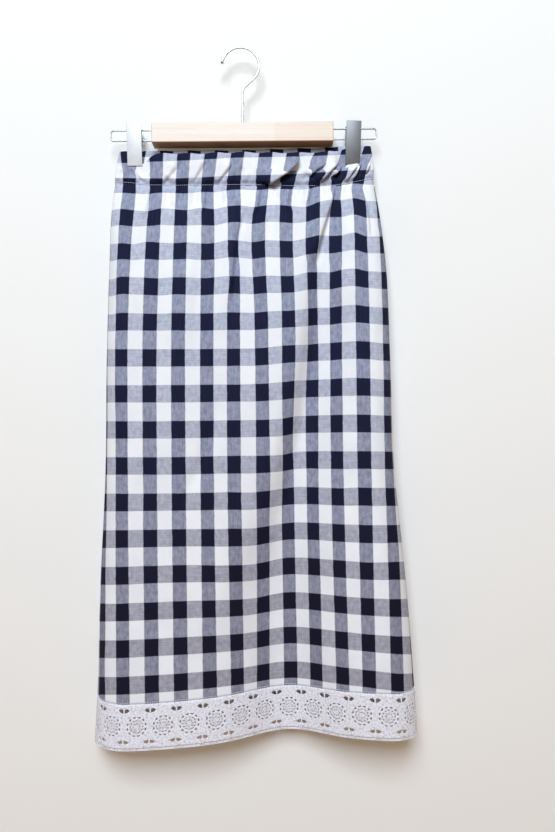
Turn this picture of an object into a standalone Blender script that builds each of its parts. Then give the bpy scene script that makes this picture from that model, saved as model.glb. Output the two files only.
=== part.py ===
"""A gathered gingham midi skirt with a lace hem, clipped by its waist to a wooden hanger.

Metres, +Z up. The origin is under the crown of the hook, where a rail carries it.
The front of the skirt faces -Y and +X is to the right of it.
"""

import math
from collections import namedtuple

import bmesh
import bpy
import numpy as np
from mathutils import Matrix, Vector

PART_COLLECTION = "midi_skirt_on_clip_hanger"
CUTTER_COLLECTION = "cutters"

# Walls and the gap left between pieces that meet
GAP = 0.0003
CLOTH_WALL = 0.0012
CASING_WALL = 0.0022
LACE_WALL = 0.0010

# Level lines of the skirt, as drops below the waist stitching
LACE_SEAM_DROP = 0.703
LACE_HEIGHT = 0.0608
CASING_HEIGHT = 0.045

# Beside a side seam the cloth runs straight for a moment, so that the two walls meet face to face
SIDE_FLAT = 0.0010
CASING_SIDE_FLAT = 0.0014

# Heights of the waist lines across the skirt
WaistLine = namedtuple("WaistLine", "x stitch front_top back_top")
WAIST_LINES = (
    WaistLine(-0.178, -0.1880, -0.1470, -0.1462),
    WaistLine(-0.155, -0.1895, -0.1450, -0.1440),
    WaistLine(-0.145, -0.1905, -0.1500, -0.1435),
    WaistLine(-0.136, -0.1915, -0.1620, -0.1430),
    WaistLine(-0.125, -0.1925, -0.1525, -0.1426),
    WaistLine(-0.108, -0.1930, -0.1475, -0.1420),
    WaistLine(0.000, -0.1920, -0.1475, -0.1400),
    WaistLine(0.090, -0.1938, -0.1478, -0.1372),
    WaistLine(0.135, -0.1925, -0.1445, -0.1360),
    WaistLine(0.155, -0.1890, -0.1385, -0.1360),
    WaistLine(0.190, -0.1825, -0.1370, -0.1366),
)

# Height of the lace seam across the skirt, which hangs a little higher on the right
SeamLine = namedtuple("SeamLine", "x seam")
SEAM_LINES = (
    SeamLine(-0.200, -0.9025),
    SeamLine(-0.125, -0.8987),
    SeamLine(-0.035, -0.8915),
    SeamLine(0.068, -0.8882),
    SeamLine(0.190, -0.8820),
    SeamLine(0.240, -0.8835),
)

# Cross-sections down the skirt: where its side folds lie, and the planes of its front and back
Section = namedtuple(
    "Section",
    "drop left right side_left side_right front_left front_right turn_left turn_right back",
)
SECTIONS = (
    Section(0.000, -0.1745, 0.1850, 0.000, 0.000, -0.0048, -0.0048, 0.007, 0.007, 0.0048),
    Section(0.040, -0.1795, 0.1920, 0.001, 0.000, -0.0150, -0.0200, 0.020, 0.022, 0.0065),
    Section(0.115, -0.1825, 0.2015, 0.002, -0.002, -0.0270, -0.0330, 0.032, 0.030, 0.0090),
    Section(0.250, -0.1865, 0.2075, 0.003, -0.006, -0.0310, -0.0420, 0.040, 0.034, 0.0120),
    Section(0.400, -0.1885, 0.2120, 0.004, -0.010, -0.0340, -0.0480, 0.045, 0.036, 0.0140),
    Section(0.550, -0.1955, 0.2265, 0.005, -0.015, -0.0390, -0.0530, 0.050, 0.040, 0.0160),
    Section(0.703, -0.1995, 0.2380, 0.005, -0.020, -0.0430, -0.0560, 0.055, 0.044, 0.0180),
    Section(0.770, -0.2030, 0.2420, 0.005, -0.022, -0.0440, -0.0560, 0.056, 0.046, 0.0185),
)

# Cross-sections up the casing, from the stitching to its top edge
CasingSection = namedtuple("CasingSection", "rise left right half_depth turn")
CASING_SECTIONS = (
    CasingSection(0.000, -0.1745, 0.1850, 0.0048, 0.007),
    CasingSection(0.010, -0.1740, 0.1850, 0.0054, 0.007),
    CasingSection(0.024, -0.1722, 0.1842, 0.0056, 0.007),
    CasingSection(0.045, -0.1680, 0.1810, 0.0050, 0.007),
)

# Slanting creases in the front of the casing, from the stitching up
CasingFold = namedtuple("CasingFold", "rise x depth left_width right_width")
CASING_FOLDS = (
    (
        CasingFold(0.000, 0.0400, 0.0009, 0.006, 0.009),
        CasingFold(0.022, 0.0590, 0.0013, 0.007, 0.010),
        CasingFold(0.045, 0.0790, 0.0005, 0.008, 0.012),
    ),
    (
        CasingFold(0.000, 0.1080, 0.0009, 0.006, 0.008),
        CasingFold(0.022, 0.1250, 0.0012, 0.007, 0.009),
        CasingFold(0.045, 0.1420, 0.0000, 0.008, 0.010),
    ),
    (
        CasingFold(0.000, -0.0370, 0.0008, 0.006, 0.008),
        CasingFold(0.022, -0.0250, 0.0008, 0.007, 0.009),
        CasingFold(0.045, -0.0130, 0.0000, 0.008, 0.010),
    ),
)

# Folds: each is a valley whose line wanders as it runs down the cloth.
# The widths are those of its left and right slopes.
Fold = namedtuple("Fold", "drop x depth left_width right_width")
FRONT_FOLDS = (
    (   # the deep valley right of the middle
        Fold(0.000, 0.1348, 0.0010, 0.010, 0.012),
        Fold(0.047, 0.1241, 0.0060, 0.012, 0.018),
        Fold(0.116, 0.1129, 0.0130, 0.014, 0.026),
        Fold(0.186, 0.1104, 0.0190, 0.018, 0.036),
        Fold(0.298, 0.0950, 0.0230, 0.022, 0.046),
        Fold(0.382, 0.0820, 0.0260, 0.026, 0.052),
        Fold(0.467, 0.0700, 0.0290, 0.040, 0.058),
        Fold(0.523, 0.0640, 0.0330, 0.050, 0.060),
        Fold(0.580, 0.0630, 0.0370, 0.060, 0.062),
        Fold(0.770, 0.0680, 0.0460, 0.070, 0.066),
    ),
    (   # a shallow crease left of the middle
        Fold(0.000, 0.0130, 0.0010, 0.010, 0.012),
        Fold(0.050, 0.0060, 0.0040, 0.010, 0.014),
        Fold(0.116, -0.0020, 0.0055, 0.010, 0.016),
        Fold(0.186, -0.0060, 0.0045, 0.010, 0.016),
        Fold(0.280, -0.0110, 0.0020, 0.012, 0.018),
        Fold(0.380, -0.0140, 0.0000, 0.014, 0.020),
    ),
    (   # a short one under the right clip
        Fold(0.000, 0.1640, 0.0010, 0.009, 0.010),
        Fold(0.050, 0.1720, 0.0045, 0.010, 0.011),
        Fold(0.110, 0.1780, 0.0020, 0.012, 0.012),
        Fold(0.180, 0.1790, 0.0000, 0.014, 0.014),
    ),
)
BACK_FOLDS = (
    (
        Fold(0.000, -0.0700, 0.0010, 0.012, 0.012),
        Fold(0.120, -0.0780, 0.0040, 0.022, 0.026),
        Fold(0.350, -0.0900, 0.0080, 0.036, 0.040),
        Fold(0.770, -0.0820, 0.0130, 0.050, 0.056),
    ),
    (
        Fold(0.000, 0.0950, 0.0010, 0.012, 0.012),
        Fold(0.120, 0.1020, 0.0040, 0.020, 0.022),
        Fold(0.350, 0.1180, 0.0070, 0.030, 0.034),
        Fold(0.770, 0.1250, 0.0100, 0.046, 0.046),
    ),
)

# Gathers where the cloth runs into the casing
Gathers = namedtuple("Gathers", "count depth fade_drop phase drift")
FRONT_GATHERS = Gathers(count=9, depth=0.0016, fade_drop=0.110, phase=0.4, drift=0.9)
BACK_GATHERS = Gathers(count=10, depth=0.0014, fade_drop=0.100, phase=1.3, drift=0.7)
GATHER_START = 0.006
GATHER_GROWTH = 0.020

# Meshing of the cloth
PANEL_COLUMNS = 42
PANEL_DROPS = (
    0.000, 0.014, 0.030, 0.050, 0.076, 0.110, 0.150, 0.200, 0.255, 0.315,
    0.380, 0.445, 0.510, 0.575, 0.640, LACE_SEAM_DROP,
)
CASING_RISES = (0.0, 0.012, 0.028, CASING_HEIGHT)
END_CROWDING = 0.30
LINE_SAMPLES = 361

# The lace: a repeat has a pair of eyelets near its top and a pair near its bottom edge
LACE_REPEAT = 0.0350
LACE_ANCHOR_X = -0.0475
EYELET_INNER = 0.0012
EYELET_OUTER = 0.0074
EYELET_TAPER = 0.0018
LaceLine = namedtuple("LaceLine", "drop tapered")
LACE_LINES = (
    LaceLine(0.0, False),
    LaceLine(0.0056, False),
    LaceLine(0.0114, True),
    LaceLine(0.0462, True),
    LaceLine(0.0514, False),
    LaceLine(LACE_HEIGHT, False),
)
EYELET_BANDS = (1, 3)
LACE_END_MARGIN = 0.0025

# The hanger: a turned wire hook, a wooden bar, a wire loop out of each end and a clip on each loop
HOOK_RADIUS = 0.026
HOOK_WIRE = 0.0030
HOOK_START_ANGLE = math.radians(163.0)
HOOK_END_ANGLE = math.radians(-18.0)
HOOK_ARC_POINTS = 24
HOOK_NECK_POINTS = 9
HOOK_BOW_PULL = 1.15
HOOK_STEM_PULL = 0.75
STEM_X = 0.0032
STEM_TOP = -0.0600
BEAD_RADIUS = 0.0023
BEAD_SEGMENTS = 12
BEAD_RINGS = 8
HANGER_TILT = math.radians(0.45)
BAR_SIZE = (0.2525, 0.0240, 0.0275)
BAR_CENTRE_Z = -0.1209
BAR_EDGE = 0.0014
BORE_DEPTH = 0.020
BORE_SIDES = 12
WIRE_CLEARANCE = 0.0003
STEM_CLEARANCE = 0.0006
LOOP_WIRE = 0.0022
LOOP_SPACING = 0.0146
LOOP_REACH = {"left": 0.1845, "right": 0.1871}
LOOP_CORNER = 0.0045
LOOP_CORNER_POINTS = 5
CLIP_WIDTH = 0.0206
CLIP_HEIGHT = 0.0585
CLIP_PLATE = 0.0012
CLIP_EDGE = 0.0004
CLIP_BELOW_BAR = 0.0143
CLIP_X = {"left": -0.1473, "right": 0.1571}
CLIP_ROLL = {"left": 0.0, "right": math.radians(1.95)}
CLIP_LEAN = math.radians(6.0)
CLIP_JAW_Y = 0.0034
SLIDE_WIDTH = 0.0140
SLIDE_HEIGHT = 0.0210

# Under a clip the two halves of the casing lie together
PINCH_Y = 0.0019
PINCH_HALF_WIDTH = 0.0160
PINCH_EASE = 0.0160
PINCH_FULL_RISE = 0.012

Finish = namedtuple("Finish", "colour roughness metallic")
FINISHES = {
    "gingham": Finish((0.36, 0.38, 0.50), 0.85, 0.0),
    "gingham_casing": Finish((0.30, 0.32, 0.46), 0.85, 0.0),
    "lace": Finish((0.88, 0.87, 0.92), 0.90, 0.0),
    "pale_wood": Finish((0.86, 0.74, 0.60), 0.55, 0.0),
    "hook_steel": Finish((0.62, 0.61, 0.58), 0.25, 1.0),
    "loop_steel": Finish((0.58, 0.57, 0.54), 0.30, 1.0),
    "left_clip_steel": Finish((0.74, 0.76, 0.80), 0.38, 1.0),
    "right_clip_steel": Finish((0.52, 0.53, 0.55), 0.42, 1.0),
    "slide_steel": Finish((0.45, 0.45, 0.46), 0.45, 1.0),
}


def clear_scene():
    """Remove every object that the scene starts with."""
    for scene_object in list(bpy.data.objects):
        bpy.data.objects.remove(scene_object, do_unlink=True)


def make_collection(name):
    """A new collection in the scene."""
    collection = bpy.data.collections.new(name)
    bpy.context.scene.collection.children.link(collection)
    return collection


def make_material(name):
    """The Principled material of one kind of piece."""
    finish = FINISHES[name]
    material = bpy.data.materials.new(name)
    material.use_nodes = True
    shader = material.node_tree.nodes["Principled BSDF"]
    shader.inputs["Base Color"].default_value = (*finish.colour, 1.0)
    shader.inputs["Roughness"].default_value = finish.roughness
    shader.inputs["Metallic"].default_value = finish.metallic
    material.diffuse_color = (*finish.colour, 1.0)
    return material


def add_object(name, data, collection, material_name=None, parent=None):
    """Link mesh or curve data as one named object, with a material of its own."""
    new_object = bpy.data.objects.new(name, data)
    collection.objects.link(new_object)
    if material_name is not None:
        material = make_material(material_name)
        material.name = name + "_" + material_name
        data.materials.append(material)
    new_object.parent = parent
    return new_object


# Smooth tables

def table_column(rows, field):
    """One column of a table of named rows."""
    return np.array([getattr(row, field) for row in rows])


def smooth_value(rows, key, field, where):
    """Read a table at a place between its rows, on a cubic through the rows."""
    keys = table_column(rows, key)
    values = table_column(rows, field)
    slopes = np.gradient(values, keys)
    place = np.clip(where, keys[0], keys[-1])
    index = np.clip(np.searchsorted(keys, place, side="right") - 1, 0, len(keys) - 2)
    width = keys[index + 1] - keys[index]
    t = (place - keys[index]) / width
    start = (1 + 2 * t) * (1 - t) ** 2 * values[index]
    start_slope = t * (1 - t) ** 2 * width * slopes[index]
    end = t ** 2 * (3 - 2 * t) * values[index + 1]
    end_slope = t ** 2 * (t - 1) * width * slopes[index + 1]
    return start + start_slope + end + end_slope


def smooth_step(value):
    """Ease from 0 to 1 as the value runs from 0 to 1."""
    limited = np.clip(value, 0.0, 1.0)
    return limited * limited * (3.0 - 2.0 * limited)


# Cross-sections

def round_turn(distance, run):
    """Rise from 0 at a side fold to 1 at the end of its turn, on a quarter of an ellipse."""
    left_over = 1.0 - np.clip(distance, 0.0, run) / run
    return np.sqrt(np.clip(1.0 - left_over ** 2, 0.0, 1.0))


def spread_x(left, right):
    """X places across a section, crowded at its side folds."""
    angle = np.linspace(0.0, math.pi, LINE_SAMPLES)
    return (left + right) / 2 - (right - left) / 2 * np.cos(angle)


def close_line(x, y, side_left, side_right):
    """Add the short straight stretches by which a line reaches the two side seams."""
    xs = np.concatenate(([x[0]], x, [x[-1]]))
    ys = np.concatenate(([side_left], y, [side_right]))
    return np.column_stack((xs, ys))


def fold_depths(folds, key, x, level):
    """How far the folds of one side of the cloth move it inwards, at one drop or rise."""
    total = np.zeros_like(x)
    for rows in folds:
        centre = smooth_value(rows, key, "x", level)
        depth = smooth_value(rows, key, "depth", level)
        left_width = smooth_value(rows, key, "left_width", level)
        right_width = smooth_value(rows, key, "right_width", level)
        offset = x - centre
        width = np.where(offset < 0.0, left_width, right_width)
        total += max(depth, 0.0) * np.exp(-(offset / width) ** 2)
    return total


def gather_depths(gathers, across, drop):
    """The ripple of the gathers: it starts just above the stitching and dies away below it."""
    fade = 1.0 - smooth_step(drop / gathers.fade_drop)
    grow = smooth_step((drop + GATHER_START) / GATHER_GROWTH)
    wander = gathers.drift * np.sin(2.0 * math.pi * across + gathers.phase)
    wave = np.sin(2.0 * math.pi * gathers.count * across + gathers.phase + wander)
    return gathers.depth * fade * grow * wave


def panel_line(side, drop):
    """XY points of the front or the back of the skirt at one level, from side seam to side seam."""
    row = {field: float(smooth_value(SECTIONS, "drop", field, drop)) for field in Section._fields}
    x = spread_x(row["left"], row["right"])
    across = (x - row["left"]) / (row["right"] - row["left"])
    side_y = row["side_left"] + (row["side_right"] - row["side_left"]) * across
    bulge = round_turn(x - row["left"], row["turn_left"]) * round_turn(row["right"] - x, row["turn_right"])
    if side == "front":
        outward = -1.0
        plane = row["front_left"] + (row["front_right"] - row["front_left"]) * across
        moved = fold_depths(FRONT_FOLDS, "drop", x, drop) + gather_depths(FRONT_GATHERS, across, drop)
    else:
        outward = 1.0
        plane = np.full_like(x, row["back"])
        moved = fold_depths(BACK_FOLDS, "drop", x, drop) + gather_depths(BACK_GATHERS, across, drop)
    start_y = side_y + outward * SIDE_FLAT
    y = start_y + (plane - start_y) * bulge - outward * moved * bulge ** 2
    return close_line(x, y, row["side_left"], row["side_right"])


def pinch_amount(x, rise):
    """How much the clips press the two halves of the casing together, from 0 to 1."""
    amount = np.zeros_like(x)
    for clip_x in CLIP_X.values():
        beyond = (np.abs(x - clip_x) - PINCH_HALF_WIDTH) / PINCH_EASE
        amount = np.maximum(amount, 1.0 - smooth_step(beyond))
    return amount * smooth_step(rise / PINCH_FULL_RISE)


def casing_line(side, rise):
    """XY points of the front or the back half of the casing at one level."""
    row = {field: float(smooth_value(CASING_SECTIONS, "rise", field, rise))
           for field in CasingSection._fields}
    x = spread_x(row["left"], row["right"])
    across = (x - row["left"]) / (row["right"] - row["left"])
    if side == "front":
        outward = -1.0
        moved = fold_depths(CASING_FOLDS, "rise", x, rise) + gather_depths(FRONT_GATHERS, across, -rise)
    else:
        outward = 1.0
        moved = gather_depths(BACK_GATHERS, across, -rise)
    bulge = round_turn(x - row["left"], row["turn"]) * round_turn(row["right"] - x, row["turn"])
    pinch = pinch_amount(x, rise)
    depth = (row["half_depth"] - moved) * (1.0 - pinch) + PINCH_Y * pinch
    y = outward * (CASING_SIDE_FLAT + (depth - CASING_SIDE_FLAT) * bulge)
    return close_line(x, y, 0.0, 0.0)


def line_lengths(line):
    """Lengths along a line of points, from its first point."""
    steps = np.hypot(*np.diff(line, axis=0).T)
    return np.concatenate(([0.0], np.cumsum(steps)))


def points_along(line, places):
    """XY points at the given lengths along a line."""
    lengths = line_lengths(line)
    x = np.interp(places, lengths, line[:, 0])
    y = np.interp(places, lengths, line[:, 1])
    return np.column_stack((x, y))


def crowded_places(total, side_flat):
    """Lengths along a line of the given total, crowded at its two side seams."""
    even = np.linspace(0.0, 1.0, PANEL_COLUMNS)
    crowded = even - END_CROWDING * np.sin(2.0 * math.pi * even) / (2.0 * math.pi)
    inner = side_flat + (total - 2 * side_flat) * crowded
    return np.concatenate(([GAP / 2], inner, [total - GAP / 2]))


# Heights

def stitch_height(x):
    """Height of the waist stitching."""
    return smooth_value(WAIST_LINES, "x", "stitch", x)


def panel_height(x, drop):
    """Height of a point of the skirt at one level."""
    seam = smooth_value(SEAM_LINES, "x", "seam", x)
    if drop > LACE_SEAM_DROP:
        return seam - (drop - LACE_SEAM_DROP)
    share = drop / LACE_SEAM_DROP
    return (1.0 - share) * stitch_height(x) + share * seam


def casing_height(side, x, rise):
    """Height of a point of the casing at one level."""
    top = smooth_value(WAIST_LINES, "x", side + "_top", x)
    bottom = stitch_height(x) + GAP
    return bottom + (top - bottom) * rise / CASING_HEIGHT


# Cloth walls

def cloth_wall(name, grid, thickness, side, open_cells, material_name, collection):
    """A sheet through a grid of points with Solidify, less the cells that stay open."""
    row_count = len(grid)
    column_count = len(grid[0])
    vertices = [tuple(point) for row in grid for point in row]
    faces = []
    for row in range(row_count - 1):
        for column in range(column_count - 1):
            if (row, column) in open_cells:
                continue
            corner = row * column_count + column
            face = (corner, corner + column_count, corner + column_count + 1, corner + 1)
            faces.append(face if side == "front" else face[::-1])
    mesh = bpy.data.meshes.new(name)
    mesh.from_pydata(vertices, [], faces)
    mesh.validate()
    mesh.shade_smooth()
    wall = add_object(name, mesh, collection, material_name)
    solidify = wall.modifiers.new("wall", "SOLIDIFY")
    solidify.thickness = thickness
    solidify.offset = 0.0
    solidify.use_even_offset = True
    return wall


def build_panel(side, collection):
    """The front or the back of the skirt, from the waist stitching to the lace."""
    grid = []
    for drop in PANEL_DROPS:
        line = panel_line(side, drop)
        flat = points_along(line, crowded_places(line_lengths(line)[-1], SIDE_FLAT))
        height_drop = drop - GAP if drop == LACE_SEAM_DROP else drop
        grid.append([(x, y, float(panel_height(x, height_drop))) for x, y in flat])
    cloth_wall("skirt_" + side, grid, CLOTH_WALL, side, set(), "gingham", collection)


def build_casing(side, collection):
    """The front or the back half of the elastic casing."""
    grid = []
    for rise in reversed(CASING_RISES):
        line = casing_line(side, rise)
        flat = points_along(line, crowded_places(line_lengths(line)[-1], CASING_SIDE_FLAT))
        grid.append([(x, y, float(casing_height(side, x, rise))) for x, y in flat])
    cloth_wall("casing_" + side, grid, CASING_WALL, side, set(), "gingham_casing", collection)


def lace_columns(total, anchor):
    """Columns of the lace: its places, how far each moves on a tapered line, and the open gaps."""
    first = math.ceil((SIDE_FLAT - anchor) / LACE_REPEAT) - 1
    last = math.floor((total - SIDE_FLAT - anchor) / LACE_REPEAT) + 1
    columns = [(GAP / 2, 0.0, False), (SIDE_FLAT, 0.0, False)]
    low = SIDE_FLAT + LACE_END_MARGIN
    high = total - SIDE_FLAT - LACE_END_MARGIN
    for index in range(first, last + 1):
        joint = anchor + index * LACE_REPEAT
        for start, end in ((-EYELET_OUTER, -EYELET_INNER), (EYELET_INNER, EYELET_OUTER)):
            if joint + start > low and joint + end < high:
                columns.append((joint + start, EYELET_TAPER, True))
                columns.append((joint + end, -EYELET_TAPER, False))
        middle = joint + LACE_REPEAT / 2
        if low < middle < high:
            columns.append((middle, 0.0, False))
    columns.append((total - SIDE_FLAT, 0.0, False))
    columns.append((total - GAP / 2, 0.0, False))
    return columns


def build_lace(side, collection):
    """The front or the back half of the lace hem, cut through at its eyelets."""
    seam_line = panel_line(side, LACE_SEAM_DROP)
    seam_total = line_lengths(seam_line)[-1]
    order = np.argsort(seam_line[:, 0])
    anchor = float(np.interp(LACE_ANCHOR_X, seam_line[order, 0], line_lengths(seam_line)[order]))
    columns = lace_columns(seam_total, anchor)
    grid = []
    for lace_line in LACE_LINES:
        line = panel_line(side, LACE_SEAM_DROP + lace_line.drop)
        stretch = line_lengths(line)[-1] / seam_total
        moves = [shift if lace_line.tapered else 0.0 for place, shift, opens in columns]
        places = [(column[0] + move) * stretch for column, move in zip(columns, moves)]
        flat = points_along(line, np.array(places))
        drop = LACE_SEAM_DROP + lace_line.drop
        grid.append([(x, y, float(panel_height(x, drop))) for x, y in flat])
    open_cells = {
        (band, index)
        for band in EYELET_BANDS
        for index, column in enumerate(columns)
        if column[2]
    }
    cloth_wall("lace_" + side, grid, LACE_WALL, side, open_cells, "lace", collection)


# Hanger

def wire(name, points, diameter, material_name, collection, parent=None):
    """A round wire along points, with closed ends."""
    curve = bpy.data.curves.new(name, "CURVE")
    curve.dimensions = "3D"
    curve.bevel_depth = diameter / 2
    curve.bevel_resolution = 2
    curve.use_fill_caps = True
    spline = curve.splines.new("POLY")
    spline.points.add(len(points) - 1)
    for spline_point, point in zip(spline.points, points):
        spline_point.co = (*point, 1.0)
    return add_object(name, curve, collection, material_name, parent)


def box_mesh(name, size):
    """A box of the given size about its centre."""
    mesh = bpy.data.meshes.new(name)
    shape = bmesh.new()
    bmesh.ops.create_cube(shape, size=1.0, matrix=Matrix.Diagonal((*size, 1.0)))
    shape.to_mesh(mesh)
    shape.free()
    return mesh


def add_bevel(target, width, segments):
    """Round the edges of a box."""
    bevel = target.modifiers.new("edges", "BEVEL")
    bevel.width = width
    bevel.segments = segments
    bevel.limit_method = "ANGLE"


def cut_bore(target, name, centre, axis, diameter, length, cutters, parent=None):
    """Cut a round bore through or into a piece."""
    mesh = bpy.data.meshes.new(name)
    shape = bmesh.new()
    radius = diameter / 2
    bmesh.ops.create_cone(
        shape, cap_ends=True, segments=BORE_SIDES, radius1=radius, radius2=radius, depth=length,
    )
    shape.to_mesh(mesh)
    shape.free()
    cutter = add_object(name, mesh, cutters, None, parent)
    cutter.location = centre
    cutter.rotation_euler = Vector((0.0, 0.0, 1.0)).rotation_difference(Vector(axis)).to_euler()
    cutter.hide_render = True
    cutter.display_type = "WIRE"
    boolean = target.modifiers.new(name, "BOOLEAN")
    boolean.operation = "DIFFERENCE"
    boolean.solver = "EXACT"
    boolean.object = cutter


def hook_points(stem_end):
    """The centre line of the hook: its bow, its neck and the straight stem."""
    centre = Vector((0.0, 0.0, HOOK_WIRE / 2 - HOOK_RADIUS))
    points = []
    for index in range(HOOK_ARC_POINTS):
        share = index / (HOOK_ARC_POINTS - 1)
        angle = HOOK_START_ANGLE + (HOOK_END_ANGLE - HOOK_START_ANGLE) * share
        points.append(centre + HOOK_RADIUS * Vector((math.cos(angle), 0.0, math.sin(angle))))
    bow_end = points[-1]
    bow_way = Vector((math.sin(HOOK_END_ANGLE), 0.0, -math.cos(HOOK_END_ANGLE)))
    neck_end = Vector((STEM_X, 0.0, STEM_TOP))
    reach = (neck_end - bow_end).length
    bow_pull = HOOK_BOW_PULL * reach * bow_way
    stem_pull = HOOK_STEM_PULL * reach * Vector((0.0, 0.0, -1.0))
    for index in range(1, HOOK_NECK_POINTS + 1):
        t = index / HOOK_NECK_POINTS
        start = (1 + 2 * t) * (1 - t) ** 2 * bow_end + t * (1 - t) ** 2 * bow_pull
        end = t ** 2 * (3 - 2 * t) * neck_end + t ** 2 * (t - 1) * stem_pull
        points.append(start + end)
    points.append(Vector((STEM_X, 0.0, stem_end)))
    return points


def build_hook(collection):
    """The wire hook, whose stem stands in the bar, and the bead on its tip."""
    stem_end = BAR_CENTRE_Z + BAR_SIZE[2] / 2 - BORE_DEPTH + 2 * GAP
    points = hook_points(stem_end)
    wire("hanger_hook", points, HOOK_WIRE, "hook_steel", collection)
    mesh = bpy.data.meshes.new("hook_bead")
    shape = bmesh.new()
    bmesh.ops.create_uvsphere(
        shape, u_segments=BEAD_SEGMENTS, v_segments=BEAD_RINGS, radius=BEAD_RADIUS,
    )
    shape.to_mesh(mesh)
    shape.free()
    mesh.shade_smooth()
    bead = add_object("hook_bead", mesh, collection, "hook_steel")
    outward = (points[0] - points[1]).normalized()
    bead.location = points[0] + outward * (BEAD_RADIUS + GAP)


def build_bar(frame, collection, cutters):
    """The wooden bar, bored for the stem of the hook and for the ends of the wire loops."""
    bar = add_object("hanger_bar", box_mesh("hanger_bar", BAR_SIZE), collection, "pale_wood", frame)
    add_bevel(bar, BAR_EDGE, 2)
    bar_top = BAR_SIZE[2] / 2
    stem_bore = HOOK_WIRE + 2 * STEM_CLEARANCE
    cut_bore(bar, "stem_bore", (0.0, 0.0, bar_top), (0.0, 0.0, 1.0), stem_bore, 2 * BORE_DEPTH,
             cutters, frame)
    for side, way in (("left", -1.0), ("right", 1.0)):
        for level, lift in (("upper", 1.0), ("lower", -1.0)):
            centre = (way * BAR_SIZE[0] / 2, 0.0, lift * LOOP_SPACING / 2)
            cut_bore(bar, side + "_" + level + "_loop_bore", centre, (1.0, 0.0, 0.0),
                     LOOP_WIRE + 2 * WIRE_CLEARANCE, 2 * BORE_DEPTH, cutters, frame)


def loop_points(way, reach):
    """The centre line of one U-shaped wire loop, out of the bar and back."""
    start = BAR_SIZE[0] / 2 - BORE_DEPTH + GAP
    half = LOOP_SPACING / 2
    points = [Vector((way * start, 0.0, half))]
    for corner_z, first_angle in ((half, math.pi / 2), (-half, 0.0)):
        centre_z = corner_z - math.copysign(LOOP_CORNER, corner_z)
        for index in range(LOOP_CORNER_POINTS):
            angle = first_angle - math.pi / 2 * index / (LOOP_CORNER_POINTS - 1)
            x = reach - LOOP_CORNER + LOOP_CORNER * math.cos(angle)
            points.append(Vector((way * x, 0.0, centre_z + LOOP_CORNER * math.sin(angle))))
    points.append(Vector((way * start, 0.0, -half)))
    return points


def jaw_inner_y(height_over_tip):
    """How far a leaning jaw's inner face stands from the middle plane at a height over its tip."""
    return CLIP_JAW_Y + height_over_tip * math.tan(CLIP_LEAN)


def build_jaw(side, face, frame, collection):
    """One plate of a clip, leaning out from the cloth that its lower end grips."""
    name = "clip_" + side + "_" + face
    size = (CLIP_WIDTH, CLIP_PLATE, CLIP_HEIGHT)
    jaw = add_object(name, box_mesh(name, size), collection, side + "_clip_steel", frame)
    outward = -1.0 if face == "front" else 1.0
    middle_y = jaw_inner_y(CLIP_HEIGHT / 2) + CLIP_PLATE / 2 / math.cos(CLIP_LEAN)
    jaw.location = (CLIP_X[side] - STEM_X, outward * middle_y, -CLIP_BELOW_BAR)
    jaw.rotation_euler = (-outward * CLIP_LEAN, CLIP_ROLL[side], 0.0)
    add_bevel(jaw, CLIP_EDGE, 1)


def build_slide(side, frame, collection, cutters):
    """The block between a clip's jaws, bored for the two wires that it slides on."""
    name = "clip_" + side + "_slide"
    mesh = box_mesh(name, (SLIDE_WIDTH, 1.0, SLIDE_HEIGHT))
    tip = -CLIP_BELOW_BAR - CLIP_HEIGHT / 2
    for vertex in mesh.vertices:
        inner = jaw_inner_y(vertex.co.z - tip) - 2 * GAP
        vertex.co.y = math.copysign(inner, vertex.co.y)
    slide = add_object(name, mesh, collection, "slide_steel", frame)
    centre_x = CLIP_X[side] - STEM_X
    slide.location = (centre_x, 0.0, 0.0)
    for level, lift in (("upper", 1.0), ("lower", -1.0)):
        centre = (centre_x, 0.0, lift * LOOP_SPACING / 2)
        cut_bore(slide, name + "_" + level + "_bore", centre, (1.0, 0.0, 0.0),
                 LOOP_WIRE + 2 * WIRE_CLEARANCE, 2 * SLIDE_WIDTH, cutters, frame)


def build_hanger(collection, cutters):
    """The whole hanger: all but its hook hangs a little lower on the left."""
    frame = bpy.data.objects.new("hanger_frame", None)
    collection.objects.link(frame)
    frame.location = (STEM_X, 0.0, BAR_CENTRE_Z)
    frame.rotation_euler = (0.0, -HANGER_TILT, 0.0)
    build_hook(collection)
    build_bar(frame, collection, cutters)
    for side, way in (("left", -1.0), ("right", 1.0)):
        points = loop_points(way, LOOP_REACH[side])
        wire("loop_" + side, points, LOOP_WIRE, "loop_steel", collection, frame)
        build_slide(side, frame, collection, cutters)
        for face in ("front", "back"):
            build_jaw(side, face, frame, collection)


def build():
    """The skirt on its hanger."""
    clear_scene()
    collection = make_collection(PART_COLLECTION)
    cutters = make_collection(CUTTER_COLLECTION)
    for side in ("front", "back"):
        build_panel(side, collection)
        build_casing(side, collection)
        build_lace(side, collection)
    build_hanger(collection, cutters)


build()
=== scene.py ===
"""Looks of a gathered gingham midi skirt with a lace hem, clipped by its waist to a wooden hanger.

Metres, +Z up. The origin is under the crown of the hook. The front of the skirt faces -Y.
"""

import logging
import math
from collections.abc import Callable
from dataclasses import dataclass, field
from enum import Enum

import bmesh
import bpy
import numpy as np
from bpy.types import ID, Material, Mesh, NodeSocket, Object
from mathutils import Matrix, Vector


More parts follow.
